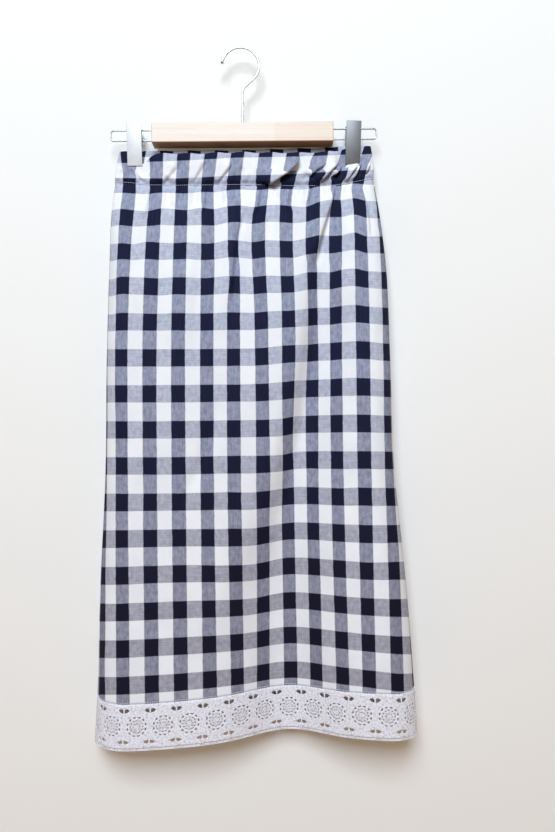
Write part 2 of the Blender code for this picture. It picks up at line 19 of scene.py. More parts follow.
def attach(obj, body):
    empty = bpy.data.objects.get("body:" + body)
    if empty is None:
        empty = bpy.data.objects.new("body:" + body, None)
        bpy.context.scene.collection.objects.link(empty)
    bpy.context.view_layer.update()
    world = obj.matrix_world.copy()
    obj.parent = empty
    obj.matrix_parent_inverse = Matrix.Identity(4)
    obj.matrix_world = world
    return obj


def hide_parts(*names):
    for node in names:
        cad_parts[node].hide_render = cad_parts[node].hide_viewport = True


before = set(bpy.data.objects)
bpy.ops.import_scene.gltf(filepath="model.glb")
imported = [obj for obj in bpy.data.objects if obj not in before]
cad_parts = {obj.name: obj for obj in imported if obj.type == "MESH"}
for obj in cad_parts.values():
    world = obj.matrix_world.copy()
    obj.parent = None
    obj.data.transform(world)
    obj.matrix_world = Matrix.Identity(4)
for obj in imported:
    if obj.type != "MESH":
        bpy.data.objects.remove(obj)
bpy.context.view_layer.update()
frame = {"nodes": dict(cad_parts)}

LOG = logging.getLogger("midi_skirt")
BODY = "root"
TURN = 2.0 * math.pi
Array = np.ndarray
Pair = tuple[float, float]
Outlines = list[list[Pair]]


def link_object(name: str, data: ID) -> Object:
    """Put a new object that holds some data into the scene."""
    piece = bpy.data.objects.new(name, data)
    bpy.context.scene.collection.objects.link(piece)
    return piece


# Photograph's camera

@dataclass(frozen=True)
class PhotoCamera:
    """The camera that sees the skirt as the photograph does.

    Attributes:
        distance: From the lens to the plane of the hanger, Y = 0.
        pixel: Size of one of the photograph's pixels on that plane.
        centre_x: X in the middle of the picture.
        centre_z: Z in the middle of the picture.
    """

    distance: float = 0.950
    pixel: float = 0.0014
    centre_x: float = 0.0518
    centre_z: float = -0.5142
    frame_width: int = 555
    frame_height: int = 832
    sensor: float = 36.0
    clip: Pair = (0.05, 30.0)

    def sight(self, points: Array) -> Array:
        """Where points are seen, in the photograph's pixels.

        Args:
            points: An array of XYZ points along its last axis.

        Returns:
            An array of pixel columns and rows along its last axis.
        """
        scale = self.distance / (self.distance + points[..., 1]) / self.pixel
        column = self.frame_width / 2 + (points[..., 0] - self.centre_x) * scale
        row = self.frame_height / 2 - (points[..., 2] - self.centre_z) * scale
        return np.stack((column, row), axis=-1)

    def build(self) -> None:
        """Add the camera and make it the scene's."""
        camera = bpy.data.cameras.new("photo_camera")
        camera.sensor_fit = "VERTICAL"
        camera.sensor_height = self.sensor
        camera.lens = self.sensor * self.distance / (self.frame_height * self.pixel)
        camera.clip_start, camera.clip_end = self.clip
        holder = link_object("photo_camera", camera)
        holder.location = (self.centre_x, -self.distance, self.centre_z)
        holder.rotation_euler = (math.radians(90.0), 0.0, 0.0)
        bpy.context.scene.camera = holder


# Shader maths

def math_method(operation: str, swapped: bool = False) -> Callable:
    """A method of Signal that adds one Math node, with the other value first where it is swapped."""
    def method(signal: "Signal", *others: object) -> "Signal":
        """Work the operation out on a signal and, where it takes two, another value."""
        values = (*others, signal) if swapped else (signal, *others)
        return signal.sheet.add("ShaderNodeMath", {"operation": operation}, dict(enumerate(values)))[0]

    return method


class Signal:
    """A shader socket that Python's operators work on."""

    def __init__(self, sheet: "ShaderSheet", socket: NodeSocket) -> None:
        """Wrap one output socket of a shader sheet."""
        self.sheet = sheet
        self.socket = socket

    __add__ = __radd__ = math_method("ADD")
    __sub__ = math_method("SUBTRACT")
    __rsub__ = math_method("SUBTRACT", swapped=True)
    __mul__ = __rmul__ = math_method("MULTIPLY")
    __truediv__ = math_method("DIVIDE")
    __pow__ = math_method("POWER")
    fraction = math_method("FRACT")
    size = math_method("ABSOLUTE")
    sine = math_method("SINE")
    least = math_method("MINIMUM")
    angle_over = math_method("ARCTAN2")

    def ramp(self, low: float, high: float) -> "Signal":
        """Ease from 0 at the low value to 1 at the high one."""
        values = {"Value": self, "From Min": low, "From Max": high, "To Min": 0.0, "To Max": 1.0}
        return self.sheet.add("ShaderNodeMapRange", {"interpolation_type": "SMOOTHSTEP"}, values)[0]


class ShaderSheet:
    """The node tree of one material, with its Principled shader."""

    def __init__(self, name: str) -> None:
        """Start a material of that name."""
        self.material = bpy.data.materials.new(name)
        self.material.use_nodes = True
        self.tree = self.material.node_tree
        self.shader = self.tree.nodes["Principled BSDF"]

    def add(self, kind: str, settings: dict | None = None, values: dict | None = None) -> list[Signal]:
        """Add one node.

        Args:
            kind: The node's type.
            settings: The node's own settings, which are set first.
            values: The values or links of its sockets, by name or place.

        Returns:
            Its output sockets.
        """
        node = self.tree.nodes.new(kind)
        for key, value in (settings or {}).items():
            setattr(node, key, value)
        for key, value in (values or {}).items():
            self._feed(node.inputs[key], value)
        return [Signal(self, output) for output in node.outputs if output.enabled]

    def _feed(self, socket: NodeSocket, value: object) -> None:
        """Link a socket to a signal, or set its value."""
        if isinstance(value, Signal):
            self.tree.links.new(value.socket, socket)
        elif isinstance(value, tuple) and socket.type == "RGBA" and len(value) == 3:
            socket.default_value = (*value, 1.0)
        else:
            socket.default_value = value

    def finish(self, **values: object) -> Material:
        """Set the shader's own sockets.

        Args:
            values: Values or signals by socket name, with underscores for spaces.

        Returns:
            The material.
        """
        for key, value in values.items():
            self._feed(self.shader.inputs[key.replace("_", " ")], value)
        return self.material

    def blend(self, factor: object, first: object, second: object) -> Signal:
        """Mix two colours, the second by the share that the factor says."""
        return self.add("ShaderNodeMix", {"data_type": "RGBA"}, {0: factor, 6: first, 7: second})[0]

    def parts(self, vector: Signal) -> list[Signal]:
        """The three parts of a vector."""
        return self.add("ShaderNodeSeparateXYZ", None, {0: vector})

    def cloth_axes(self) -> list[Signal]:
        """The two axes of the piece's UV map, in metres of cloth."""
        return self.parts(self.add("ShaderNodeUVMap", {"uv_map": "cloth"})[0])[:2]

    def vector(self, x: object, y: object, z: object = 0.0) -> Signal:
        """A vector of three values."""
        return self.add("ShaderNodeCombineXYZ", None, {0: x, 1: y, 2: z})[0]

    def noise(self, place: Signal, scale: float, detail: float = 2.0, rough: float = 0.5) -> Signal:
        """Smooth noise from 0 to 1 at a place."""
        values = {"Vector": place, "Scale": scale, "Detail": detail, "Roughness": rough}
        return self.add("ShaderNodeTexNoise", {"noise_dimensions": "3D"}, values)[0]

    def place(self) -> Signal:
        """The point on the piece, in metres."""
        return self.add("ShaderNodeTexCoord")[3]

    def bump(self, height: Signal, depth: float, strength: float = 1.0) -> Signal:
        """A normal from a height, which stands for that depth in metres where it is 1."""
        values = {"Height": height, "Distance": depth, "Strength": strength}
        return self.add("ShaderNodeBump", None, values)[0]


# Finishes

@dataclass(frozen=True)
class GinghamFinish:
    """Yarn-dyed cotton check: dyed and bleached stripes of warp crossed by the same of weft.

    Attributes:
        column_period: From one dark column to the next.
        row_period: From one dark row to the next.
        column_share: The dark share of a column's period.
        row_share: The dark share of a row's period.
        column_tones: Dark and light threads of a column, near the waist and then low down.
        row_tones: The same of a row.
    """

    column_period: float = 0.0384
    row_period: float = 0.0488
    column_share: float = 0.489
    row_share: float = 0.483
    edge: float = 0.0006
    jitter: float = 0.0012
    thread: float = 0.00052
    thread_height: float = 0.00010
    mottle: float = 0.55
    white: tuple = (0.835, 0.852, 0.895)
    white_thin: tuple = (0.780, 0.798, 0.850)
    column_tones: tuple = ((0.185, 0.208, 0.318), (0.355, 0.388, 0.505),
                           (0.172, 0.176, 0.246), (0.332, 0.340, 0.430))
    row_tones: tuple = ((0.355, 0.388, 0.505), (0.545, 0.582, 0.700),
                        (0.258, 0.256, 0.320), (0.425, 0.418, 0.500))
    hem_tone_from: float = 0.10
    hem_tone_to: float = 0.72
    navy: tuple = (0.0080, 0.0100, 0.0350)
    navy_light: tuple = (0.0160, 0.0190, 0.0500)
    low_navy: tuple = (0.0085, 0.0080, 0.0210)

    def stripe(self, axis: Signal, jitter: Signal, period: float, share: float, start: float) -> Signal:
        """Where the dyed threads of one direction lie.

        Args:
            axis: The place across the stripes.
            jitter: A small shift of the edges, in metres.
            period: From one dark stripe to the next.
            share: The dark share of it.
            start: The place of the first dark stripe's start.

        Returns:
            1 on dyed threads and 0 on bleached ones.
        """
        phase = ((axis + jitter - start) / period).fraction()
        middle = (phase - share / 2).size()
        wrapped = middle.least(1.0 - middle)
        soft = self.edge / period
        return 1.0 - wrapped.ramp(share / 2 - soft, share / 2 + soft)

    def build(self, name: str) -> Material:
        """Make the material."""
        sheet = ShaderSheet(name)
        across, along = sheet.cloth_axes()
        # The dyed threads' tones grow darker and greyer from near the waist towards the hem.
        fade = along.ramp(self.hem_tone_from, self.hem_tone_to)

        def tone_down_skirt(share: Signal, dark: tuple, light: tuple, low_dark: tuple, low_light: tuple) -> Signal:
            """The tone of dyed threads, which changes down the skirt."""
            return sheet.blend(fade, sheet.blend(share, dark, light), sheet.blend(share, low_dark, low_light))

        wander = sheet.noise(sheet.vector(across * 0.4, along), 90.0)
        jitter = (wander - 0.5) * self.jitter
        half_dark = self.column_share * self.column_period / 2
        dark_warp = self.stripe(across, jitter, self.column_period, self.column_share, -half_dark)
        dark_weft = self.stripe(along, jitter, self.row_period, self.row_share, 0.0)
        # Slubs: threads are a little thicker and thinner along their length
        warp_slub = sheet.noise(sheet.vector(across * 1500.0, along * 26.0), 1.0, 3.0, 0.6)
        weft_slub = sheet.noise(sheet.vector(across * 26.0, along * 1200.0), 1.0, 3.0, 0.6)
        patch = sheet.noise(sheet.vector(across, along), 14.0, 3.0)
        mottle = (sheet.noise(sheet.vector(across * 1.6, along), 120.0, 3.0, 0.6) - 0.5) * self.mottle
        speck = sheet.noise(sheet.vector(across, along), 900.0, 2.0, 0.7)
        warp_share, weft_share = (
            (slub * 0.50 + speck * 0.50 + mottle).ramp(0.32, 0.68) for slub in (warp_slub, weft_slub)
        )
        white = sheet.blend((patch + mottle * 0.5).ramp(0.35, 0.65), self.white, self.white_thin)
        navy = sheet.blend(warp_slub.ramp(0.35, 0.75), self.navy, self.navy_light)
        light_row = sheet.blend(dark_warp, white, tone_down_skirt(warp_share, *self.column_tones))
        navy = sheet.blend(fade, navy, self.low_navy)
        dark_row = sheet.blend(dark_warp, tone_down_skirt(weft_share, *self.row_tones), navy)
        weave = ((across * (TURN / self.thread)).sine() * (along * (TURN / self.thread)).sine()) * 0.5 + 0.5
        height = weave * 0.35 + warp_slub * 0.40 + weft_slub * 0.25
        return sheet.finish(
            Base_Color=sheet.blend(dark_weft, light_row, dark_row),
            Roughness=0.86 - patch * 0.06,
            Specular_IOR_Level=0.10,
            Normal=sheet.bump(height, self.thread_height, 0.55),
        )


@dataclass(frozen=True)
class LaceFinish:
    """Embroidered cotton lace: raised rings of stitches on a close ground, with painted shade in its hollows
    and painted highlight on its raised rays.
    """

    thread: tuple = (0.87, 0.875, 0.96)
    # Painted shade for the lace's hollows
    painted_hollow_shade: tuple = (0.42, 0.41, 0.50)
    disc: float = 0.0090
    petals: int = 12
    net: float = 4800.0
    relief: float = 0.00060

    def build(self, name: str, tile: "LaceTile") -> Material:
        """Make the material."""
        sheet = ShaderSheet(name)
        across, along = sheet.cloth_axes()
        local = ((across / tile.repeat).fraction() - 0.5) * tile.repeat
        drop = along - tile.medallion
        radius = (local * local + drop * drop) ** 0.5
        mesh = (across * self.net).sine() * (along * self.net).sine()
        grain = sheet.noise(sheet.vector(across, along), 1500.0, 3.0, 0.65)
        cloud = sheet.noise(sheet.vector(across, along), 330.0, 3.0, 0.6)
        uneven = (cloud - 0.5) * 0.0028
        disc = 1.0 - (radius + uneven).ramp(self.disc - 0.0008, self.disc + 0.0012)
        rim = 1.0 - (radius + uneven - tile.slot_ring).size().ramp(0.0012, 0.0030)
        rays = ((drop.angle_over(local) * self.petals).sine() * 0.5 + 0.5) * rim
        raised = rays * 0.7 + disc * cloud * 0.6
        height = raised * 0.45 + grain * 0.50 + mesh * 0.08 + cloud * 0.30
        # The tone mixes the lace's own mottle with painted shade where the grain and cloud bump is low, and
        # painted highlight on the raised rays; the medallion's disc is made greyer.
        tone = (grain * 0.45 + cloud * 0.55).ramp(0.33, 0.55) + rays * 0.18 - disc * (0.75 - cloud) * 0.40
        return sheet.finish(
            Base_Color=sheet.blend(tone, self.painted_hollow_shade, self.thread),
            Roughness=0.90 - grain * 0.10,
            Specular_IOR_Level=0.15,
            Normal=sheet.bump(height, self.relief),
        )


def darker(colour: tuple, share: float) -> tuple:
    """A colour times a share."""
    return tuple(value * share for value in colour)


@dataclass(frozen=True)
class ThreadFinish:
    """Sewing thread: a twist of fine strands."""

    colour: tuple = (0.80, 0.84, 0.94)
    shade: float = 0.86
    strand: float = 0.00006

    def build(self, name: str) -> Material:
        """Make the material."""
        sheet = ShaderSheet(name)
        grain = sheet.noise(sheet.place(), 2600.0, 2.0)
        colour = sheet.blend(grain.ramp(0.3, 0.7), darker(self.colour, self.shade), self.colour)
        normal = sheet.bump(grain, self.strand)
        return sheet.finish(Base_Color=colour, Roughness=0.80 - grain * 0.1, Normal=normal)


@dataclass(frozen=True)
class WoodFinish:
    """Pale wood under a satin clear coat, glued of a pale and a peach half, with its grain along the bar, and
    painted shade on the bar's underside.
    """

    pale: tuple = (0.765, 0.69, 0.62)
    peach: tuple = (0.75, 0.635, 0.53)
    streak: tuple = (0.64, 0.47, 0.345)
    pore: tuple = (0.60, 0.42, 0.29)
    # Painted shade of the bar's underside
    painted_underside_shade: tuple = (0.40, 0.215, 0.115)
    joint_x: float = 0.0480
    joint_blur: float = 0.0006
    underside_shade_from: float = -0.0134
    underside_shade_to: float = -0.0126
    relief: float = 0.00008

    def build(self, name: str, hanger: "HangerFrame") -> Material:
        """Make the material."""
        sheet = ShaderSheet(name)
        x, y, z = sheet.parts(sheet.place())
        height = z - hanger.centre_z - (x - hanger.stem_x) * math.tan(hanger.tilt)
        warp = sheet.noise(sheet.vector(x * 6.0, y * 30.0, z * 30.0), 1.0, 2.0)
        band = sheet.noise(sheet.vector(x * 3.0 + warp, y * 260.0, z * 260.0), 1.0, 3.0, 0.55)
        fibre = sheet.noise(sheet.vector(x * 60.0, y * 2600.0, z * 2600.0), 1.0, 3.0, 0.6)
        pores = sheet.noise(sheet.vector(x * 150.0, y * 3200.0, z * 3200.0), 1.0, 1.0)
        joint = x.ramp(self.joint_x - self.joint_blur, self.joint_x + self.joint_blur)
        colour = sheet.blend(joint, self.pale, self.peach)
        for share, tone in (
            (band.ramp(0.42, 0.80) * 0.60, self.streak),
            (fibre.ramp(0.45, 0.80) * 0.50, self.streak),
            (pores.ramp(0.68, 0.80) * 0.50, self.pore),
        ):
            colour = sheet.blend(share, colour, tone)
        # Painted shade: the wood turns darker and browner on the bar's underside, which lies in shade.
        colour = sheet.blend(height.ramp(self.underside_shade_from, self.underside_shade_to), self.painted_underside_shade, colour)
        return sheet.finish(
            Base_Color=colour,
            Roughness=0.42 + fibre * 0.16,
            Coat_Weight=0.25 - band * 0.08,
            Coat_Roughness=0.30,
            Normal=sheet.bump(fibre + pores * 0.3, self.relief, 0.5),
        )


@dataclass(frozen=True)
class SteelFinish:
    """Plated steel: a tint, how dull it is and how strongly it is brushed."""

    tint: tuple
    rough: float
    brushed: float = 0.0
    metallic: float = 1.0
    shade: float = 0.84
    relief: float = 0.00004

    def build(self, name: str) -> Material:
        """Make the material."""
        sheet = ShaderSheet(name)
        x, y, z = sheet.parts(sheet.place())
        smudge = sheet.noise(sheet.place(), 60.0, 3.0)
        speck = sheet.noise(sheet.place(), 900.0, 2.0)
        brush = sheet.noise(sheet.vector(x * 4200.0, y * 4200.0, z * 90.0), 1.0, 2.0)
        mottle = smudge.ramp(0.3, 0.7) * 0.5 + speck.ramp(0.35, 0.65) * 0.5
        return sheet.finish(
            Base_Color=sheet.blend(mottle, darker(self.tint, self.shade), self.tint),
            Metallic=self.metallic,
            Roughness=self.rough + (smudge - 0.5) * 0.10 + (speck - 0.5) * 0.05,
            Normal=sheet.bump(brush * self.brushed + speck * 0.3, self.relief, 0.5),
        )


@dataclass(frozen=True)
class PlasterFinish:
    """A painted wall or floor, whose colour may change from low to high; on the wall that change is painted
    shade.
    """

    colour: tuple
    low_colour: tuple
    low: float = -1.2
    high: float = 0.1
    relief: float = 0.0006

    def build(self, name: str) -> Material:
        """Make the material."""
        sheet = ShaderSheet(name)
        height = sheet.parts(sheet.place())[2]
        grain = sheet.noise(sheet.place(), 55.0, 4.0, 0.6)
        # On the wall the low colour is painted shade: the colour grows darker and warmer towards the floor.
        colour = sheet.blend(height.ramp(self.low, self.high), self.low_colour, self.colour)
        return sheet.finish(Base_Color=colour, Roughness=0.92, Normal=sheet.bump(grain, self.relief, 0.15))


# Form of the skirt

class Side(Enum):
    """The half of the skirt that a piece is on."""

    FRONT = "front"
    BACK = "back"

    @property
    def outward(self) -> float:
        """The way out of that half along Y."""
        return -1.0 if self is Side.FRONT else 1.0


@dataclass(frozen=True)
class WaistLine:
    """Heights of the waist at one place across the skirt."""

    x: float
    stitch: float
    front_top: float
    back_top: float


@dataclass(frozen=True)
class SeamLine:
    """Height of the lace seam at one place across the skirt."""

    x: float
    seam: float


@dataclass(frozen=True)
class Section:
    """Cross-section of the skirt at one drop below the waist stitching."""

    drop: float
    left: float
    right: float
    side_left: float
    side_right: float
    front_left: float
    front_right: float
    turn_left: float
    turn_right: float
    back: float


@dataclass(frozen=True)
class CasingSection:
    """Cross-section of the waist casing at one rise above the stitching."""

    rise: float
    left: float
    right: float
    half_depth: float
    turn: float


@dataclass(frozen=True)
class Fold:
    """One place down a valley in the cloth: its middle, its depth and the widths of its slopes."""

    level: float
    x: float
    depth: float
    left_width: float
    right_width: float


@dataclass(frozen=True)
class Gathers:
    """The ripple where the cloth runs into the casing."""

    count: int
    depth: float
    fade_drop: float
    phase: float
    drift: float
    start: float = 0.006
    growth: float = 0.020


@dataclass(frozen=True)
class Crease:
    """A soft trough in the cloth, or a ridge where its depth is below 0.

    Attributes:
        places: Points on it, as X and the drop below the waist stitching.
        depth: How deep it is in its middle.
        width: Half its width.
        lip: How far the cloth beside it stands up, as a share of its depth.
        lean: Above 0 its left flank is the longer one, and below 0 its right one.
    """

    places: tuple[Pair, ...]
    depth: float
    width: float
    lip: float = 0.3
    lean: float = 0.0


@dataclass(frozen=True)
class Tuck:
    """A fold that hangs over: the cloth rises to a ridge from the left and drops steeply beside it.

    Attributes:
        places: Points along the foot of its steep side, as X and the drop below the waist stitching.
        rise: How far its ridge stands out.
        sink: How far its foot lies in.
        starts: The width of its steep side at the first place.
        ends: The same at the last place.
        spread: How long the cloth takes to rise to the ridge.
        over: How far the ridge leans over its foot.
    """

    places: tuple[Pair, ...]
    rise: float
    sink: float
    starts: float
    ends: float
    spread: float
    over: float


def table(kind: type, rows: tuple) -> tuple:
    """A table as rows of one kind, whose fields name its columns in their order."""
    return tuple(kind(*row) for row in rows)


WAIST_LINES = table(WaistLine, (
    (-0.178, -0.188, -0.147, -0.1462), (-0.155, -0.1895, -0.145, -0.144), (-0.145, -0.1905, -0.15, -0.1435),
    (-0.136, -0.1915, -0.162, -0.143), (-0.125, -0.1925, -0.153, -0.142),
    (-0.108, -0.193, -0.1494, -0.1411), (-0.072, -0.1929, -0.1493, -0.1406), (0.0, -0.192, -0.1475, -0.14),
    (0.09, -0.1938, -0.1478, -0.1372), (0.135, -0.1925, -0.1445, -0.136), (0.155, -0.189, -0.1385, -0.136),
    (0.19, -0.1825, -0.137, -0.1366),
))
SEAM_LINES = table(SeamLine, (
    (-0.2, -0.9025), (-0.125, -0.8987), (-0.035, -0.8915), (0.068, -0.8882), (0.19, -0.882),
    (0.24, -0.8835),
))
SECTIONS = table(Section, (
    (0.0, -0.1745, 0.185, 0.0, 0.0, -0.0048, -0.0048, 0.007, 0.007, 0.0048),
    (0.04, -0.1795, 0.192, 0.001, 0.0, -0.015, -0.02, 0.02, 0.022, 0.0065),
    (0.115, -0.1825, 0.2015, 0.002, -0.002, -0.027, -0.033, 0.032, 0.03, 0.009),
    (0.25, -0.1865, 0.2075, 0.003, -0.006, -0.031, -0.042, 0.04, 0.034, 0.012),
    (0.4, -0.1885, 0.212, 0.004, -0.01, -0.034, -0.048, 0.045, 0.036, 0.014),
    (0.55, -0.1955, 0.2265, 0.005, -0.015, -0.039, -0.053, 0.05, 0.04, 0.016),
    (0.703, -0.1995, 0.238, 0.005, -0.02, -0.043, -0.056, 0.055, 0.044, 0.018),
    (0.77, -0.203, 0.242, 0.005, -0.022, -0.044, -0.056, 0.056, 0.046, 0.0185),
))
CASING_SECTIONS = table(CasingSection, (
    (0.0, -0.1745, 0.185, 0.0048, 0.007), (0.01, -0.174, 0.185, 0.0054, 0.007),
    (0.024, -0.1722, 0.1842, 0.0056, 0.007), (0.045, -0.168, 0.181, 0.005, 0.007),
))
CASING_FOLDS = {
    Side.FRONT: (
        table(Fold, (
            (0.0, 0.04, 0.0009, 0.006, 0.009), (0.022, 0.059, 0.0013, 0.007, 0.01),
            (0.045, 0.079, 0.0005, 0.008, 0.012),
        )),
        table(Fold, (
            (0.0, 0.108, 0.0009, 0.006, 0.008), (0.022, 0.125, 0.0012, 0.007, 0.009),
            (0.045, 0.142, 0.0, 0.008, 0.01),
        )),
        table(Fold, (
            (0.0, -0.037, 0.0008, 0.006, 0.008), (0.022, -0.025, 0.0008, 0.007, 0.009),
            (0.045, -0.013, 0.0, 0.008, 0.01),
        )),
    ),
    Side.BACK: (),
}
PANEL_FOLDS = {
    Side.FRONT: (
        table(Fold, (   # the deep valley right of the middle
            (0.0, 0.1348, 0.001, 0.01, 0.012), (0.047, 0.1241, 0.006, 0.012, 0.018),
            (0.116, 0.1129, 0.013, 0.014, 0.026), (0.186, 0.1104, 0.019, 0.018, 0.036),
            (0.298, 0.095, 0.023, 0.022, 0.046), (0.382, 0.082, 0.026, 0.026, 0.052),
            (0.467, 0.07, 0.029, 0.04, 0.058), (0.523, 0.064, 0.033, 0.05, 0.06),
            (0.58, 0.063, 0.037, 0.06, 0.062), (0.77, 0.068, 0.046, 0.07, 0.066),
        )),
        table(Fold, (   # a shallow crease left of the middle
            (0.0, 0.013, 0.001, 0.01, 0.012), (0.05, 0.006, 0.004, 0.01, 0.014),
            (0.116, -0.002, 0.0055, 0.01, 0.016), (0.186, -0.006, 0.0045, 0.01, 0.016),
            (0.28, -0.011, 0.002, 0.012, 0.018), (0.38, -0.014, 0.0, 0.014, 0.02),
        )),
        table(Fold, (   # a short one under the right clip
            (0.0, 0.164, 0.001, 0.009, 0.01), (0.05, 0.172, 0.0045, 0.01, 0.011),
            (0.11, 0.178, 0.002, 0.012, 0.012), (0.18, 0.179, 0.0, 0.014, 0.014),
        )),
    ),
    Side.BACK: (
        table(Fold, (
            (0.0, -0.07, 0.001, 0.012, 0.012), (0.12, -0.078, 0.004, 0.022, 0.026),
            (0.35, -0.09, 0.008, 0.036, 0.04), (0.77, -0.082, 0.013, 0.05, 0.056),
        )),
        table(Fold, (
            (0.0, 0.095, 0.001, 0.012, 0.012), (0.12, 0.102, 0.004, 0.02, 0.022),
            (0.35, 0.118, 0.007, 0.03, 0.034), (0.77, 0.125, 0.01, 0.046, 0.046),
        )),
    ),
}
GATHERS = {
    Side.FRONT: Gathers(count=9, depth=0.0016, fade_drop=0.110, phase=0.4, drift=0.9),
    Side.BACK: Gathers(count=10, depth=0.0014, fade_drop=0.100, phase=1.3, drift=0.7),
}


def smooth_step(value: Array) -> Array:
    """Ease from 0 to 1 as the value runs from 0 to 1."""
    limited = np.clip(value, 0.0, 1.0)
    return limited * limited * (3.0 - 2.0 * limited)


def hermite(keys: Array, values: Array, where: Array) -> Array:
    """Read values between keys on a cubic through them, and hold the end values past the ends.

    Args:
        keys: Rising places.
        values: The value at each.
        where: The places to read at.

    Returns:
        The value at each place.
    """
    slopes = np.gradient(values, keys)
    place = np.clip(where, keys[0], keys[-1])
    index = np.clip(np.searchsorted(keys, place, side="right") - 1, 0, len(keys) - 2)
    width = keys[index + 1] - keys[index]
    t = (place - keys[index]) / width
    start = (1 + 2 * t) * (1 - t) ** 2 * values[index]
    start_slope = t * (1 - t) ** 2 * width * slopes[index]
    end = t ** 2 * (3 - 2 * t) * values[index + 1]
    end_slope = t ** 2 * (t - 1) * width * slopes[index + 1]
    return start + start_slope + end + end_slope


def read_rows(rows: tuple, key: str, name: str, where: object) -> Array:
    """Read one column of a table of rows at places between its rows."""
    keys = np.array([getattr(row, key) for row in rows])
    values = np.array([getattr(row, name) for row in rows])
    return hermite(keys, values, np.asarray(where, dtype=float))


def row_at(rows: tuple, key: str, where: float) -> object:
    """The row that a table has at one place between its rows."""
    kind = type(rows[0])
    return kind(*(float(read_rows(rows, key, name, where)) for name in kind.__dataclass_fields__))


@dataclass(frozen=True)
class SkirtForm:
    """The shape of the whole skirt as the sections of its walls' middles give it."""

    seam_drop: float = 0.703
    casing_height: float = 0.045
    gap: float = 0.0003
    side_flat: float = 0.0010
    casing_side_flat: float = 0.0014
    pinch_y: float = 0.0019
    pinch_half_width: float = 0.0160
    pinch_ease: float = 0.0160
    pinch_full_rise: float = 0.012
    clip_x: Pair = (-0.1473, 0.1571)
    samples: int = 721

    def _spread(self, left: float, right: float) -> Array:
        """X places across a section, crowded at its side folds."""
        angle = np.linspace(0.0, math.pi, self.samples)
        return (left + right) / 2 - (right - left) / 2 * np.cos(angle)

    @staticmethod
    def _turn(distance: Array, run: float) -> Array:
        """Rise from 0 at a side fold to 1 at the end of its turn, on a quarter of an ellipse."""
        left_over = 1.0 - np.clip(distance, 0.0, run) / run
        return np.sqrt(np.clip(1.0 - left_over ** 2, 0.0, 1.0))

    @staticmethod
    def _folds(folds: tuple, x: Array, level: float) -> Array:
        """How far the folds of one side move the cloth inwards."""
        total = np.zeros_like(x)
        for rows in folds:
            fold = row_at(rows, "level", level)
            offset = x - fold.x
            width = np.where(offset < 0.0, fold.left_width, fold.right_width)
            total += max(fold.depth, 0.0) * np.exp(-(offset / width) ** 2)
        return total

    @staticmethod
    def _ripple(gathers: Gathers, across: Array, drop: float) -> Array:
        """The ripple of the gathers at one drop."""
        fade = 1.0 - smooth_step(drop / gathers.fade_drop)
        grow = smooth_step((drop + gathers.start) / gathers.growth)
        wander = gathers.drift * np.sin(TURN * across + gathers.phase)
        wave = np.sin(TURN * gathers.count * across + gathers.phase + wander)
        return gathers.depth * fade * grow * wave

    def panel_line(self, side: Side, drop: float) -> Array:
        """One side of the skirt at one drop, from seam to seam."""
        row = row_at(SECTIONS, "drop", drop)
        x = self._spread(row.left, row.right)
        across = (x - row.left) / (row.right - row.left)
        side_y = row.side_left + (row.side_right - row.side_left) * across
        bulge = self._turn(x - row.left, row.turn_left) * self._turn(row.right - x, row.turn_right)
        left, right = (row.front_left, row.front_right) if side is Side.FRONT else (row.back, row.back)
        plane = left + (right - left) * across
        moved = self._folds(PANEL_FOLDS[side], x, drop) + self._ripple(GATHERS[side], across, drop)
        start_y = side_y + side.outward * self.side_flat
        y = start_y + (plane - start_y) * bulge - side.outward * moved * bulge ** 2
        return self._closed(x, y, row.side_left, row.side_right)

    def casing_line(self, side: Side, rise: float) -> Array:
        """One half of the casing at one rise, from seam to seam."""
        row = row_at(CASING_SECTIONS, "rise", rise)
        x = self._spread(row.left, row.right)
        across = (x - row.left) / (row.right - row.left)
        moved = self._folds(CASING_FOLDS[side], x, rise) + self._ripple(GATHERS[side], across, -rise)
        bulge = self._turn(x - row.left, row.turn) * self._turn(row.right - x, row.turn)
        pinch = self.pinch(x, rise)
        depth = (row.half_depth - moved) * (1.0 - pinch) + self.pinch_y * pinch
        y = side.outward * (self.casing_side_flat + (depth - self.casing_side_flat) * bulge)
        return self._closed(x, y, 0.0, 0.0)

    def pinch(self, x: Array, rise: object) -> Array:
        """How much the clips press the casing's halves together, from 0 to 1."""
        amount = np.zeros_like(x)
        for clip_x in self.clip_x:
            beyond = (np.abs(x - clip_x) - self.pinch_half_width) / self.pinch_ease
            amount = np.maximum(amount, 1.0 - smooth_step(beyond))
        return amount * smooth_step(np.asarray(rise) / self.pinch_full_rise)

    @staticmethod
    def _closed(x: Array, y: Array, side_left: float, side_right: float) -> Array:
        """Add the points at which a line reaches its two side seams."""
        xs = np.concatenate(([x[0]], x, [x[-1]]))
        ys = np.concatenate(([side_left], y, [side_right]))
        return np.column_stack((xs, ys))

    @staticmethod
    def stitch_height(x: Array) -> Array:
        """Height of the waist stitching."""
        return read_rows(WAIST_LINES, "x", "stitch", x)

    def panel_height(self, x: Array, drop: object) -> Array:
        """Height of points of the skirt at their drops."""
        seam = read_rows(SEAM_LINES, "x", "seam", x)
        share = np.minimum(np.asarray(drop) / self.seam_drop, 1.0)
        below = np.maximum(np.asarray(drop) - self.seam_drop, 0.0)
        return (1.0 - share) * self.stitch_height(x) + share * seam - below

    def casing_height_at(self, side: Side, x: Array, rise: object) -> Array:
        """Height of points of the casing at their rises."""
        top = read_rows(WAIST_LINES, "x", side.value + "_top", x)
        bottom = self.stitch_height(x) + self.gap
        return bottom + (top - bottom) * np.asarray(rise) / self.casing_height


def line_lengths(points: Array) -> Array:
    """Lengths along a line of points, from its first point."""
    steps = np.linalg.norm(np.diff(points, axis=0), axis=1)
    return np.concatenate(([0.0], np.cumsum(steps)))


def hold_in(moved: Array, room: object) -> Array:
    """Moves inwards, softly held to the room behind the cloth. Moves outwards stay as they are."""
    return np.where(moved > 0.0, room * np.tanh(moved / room), moved)


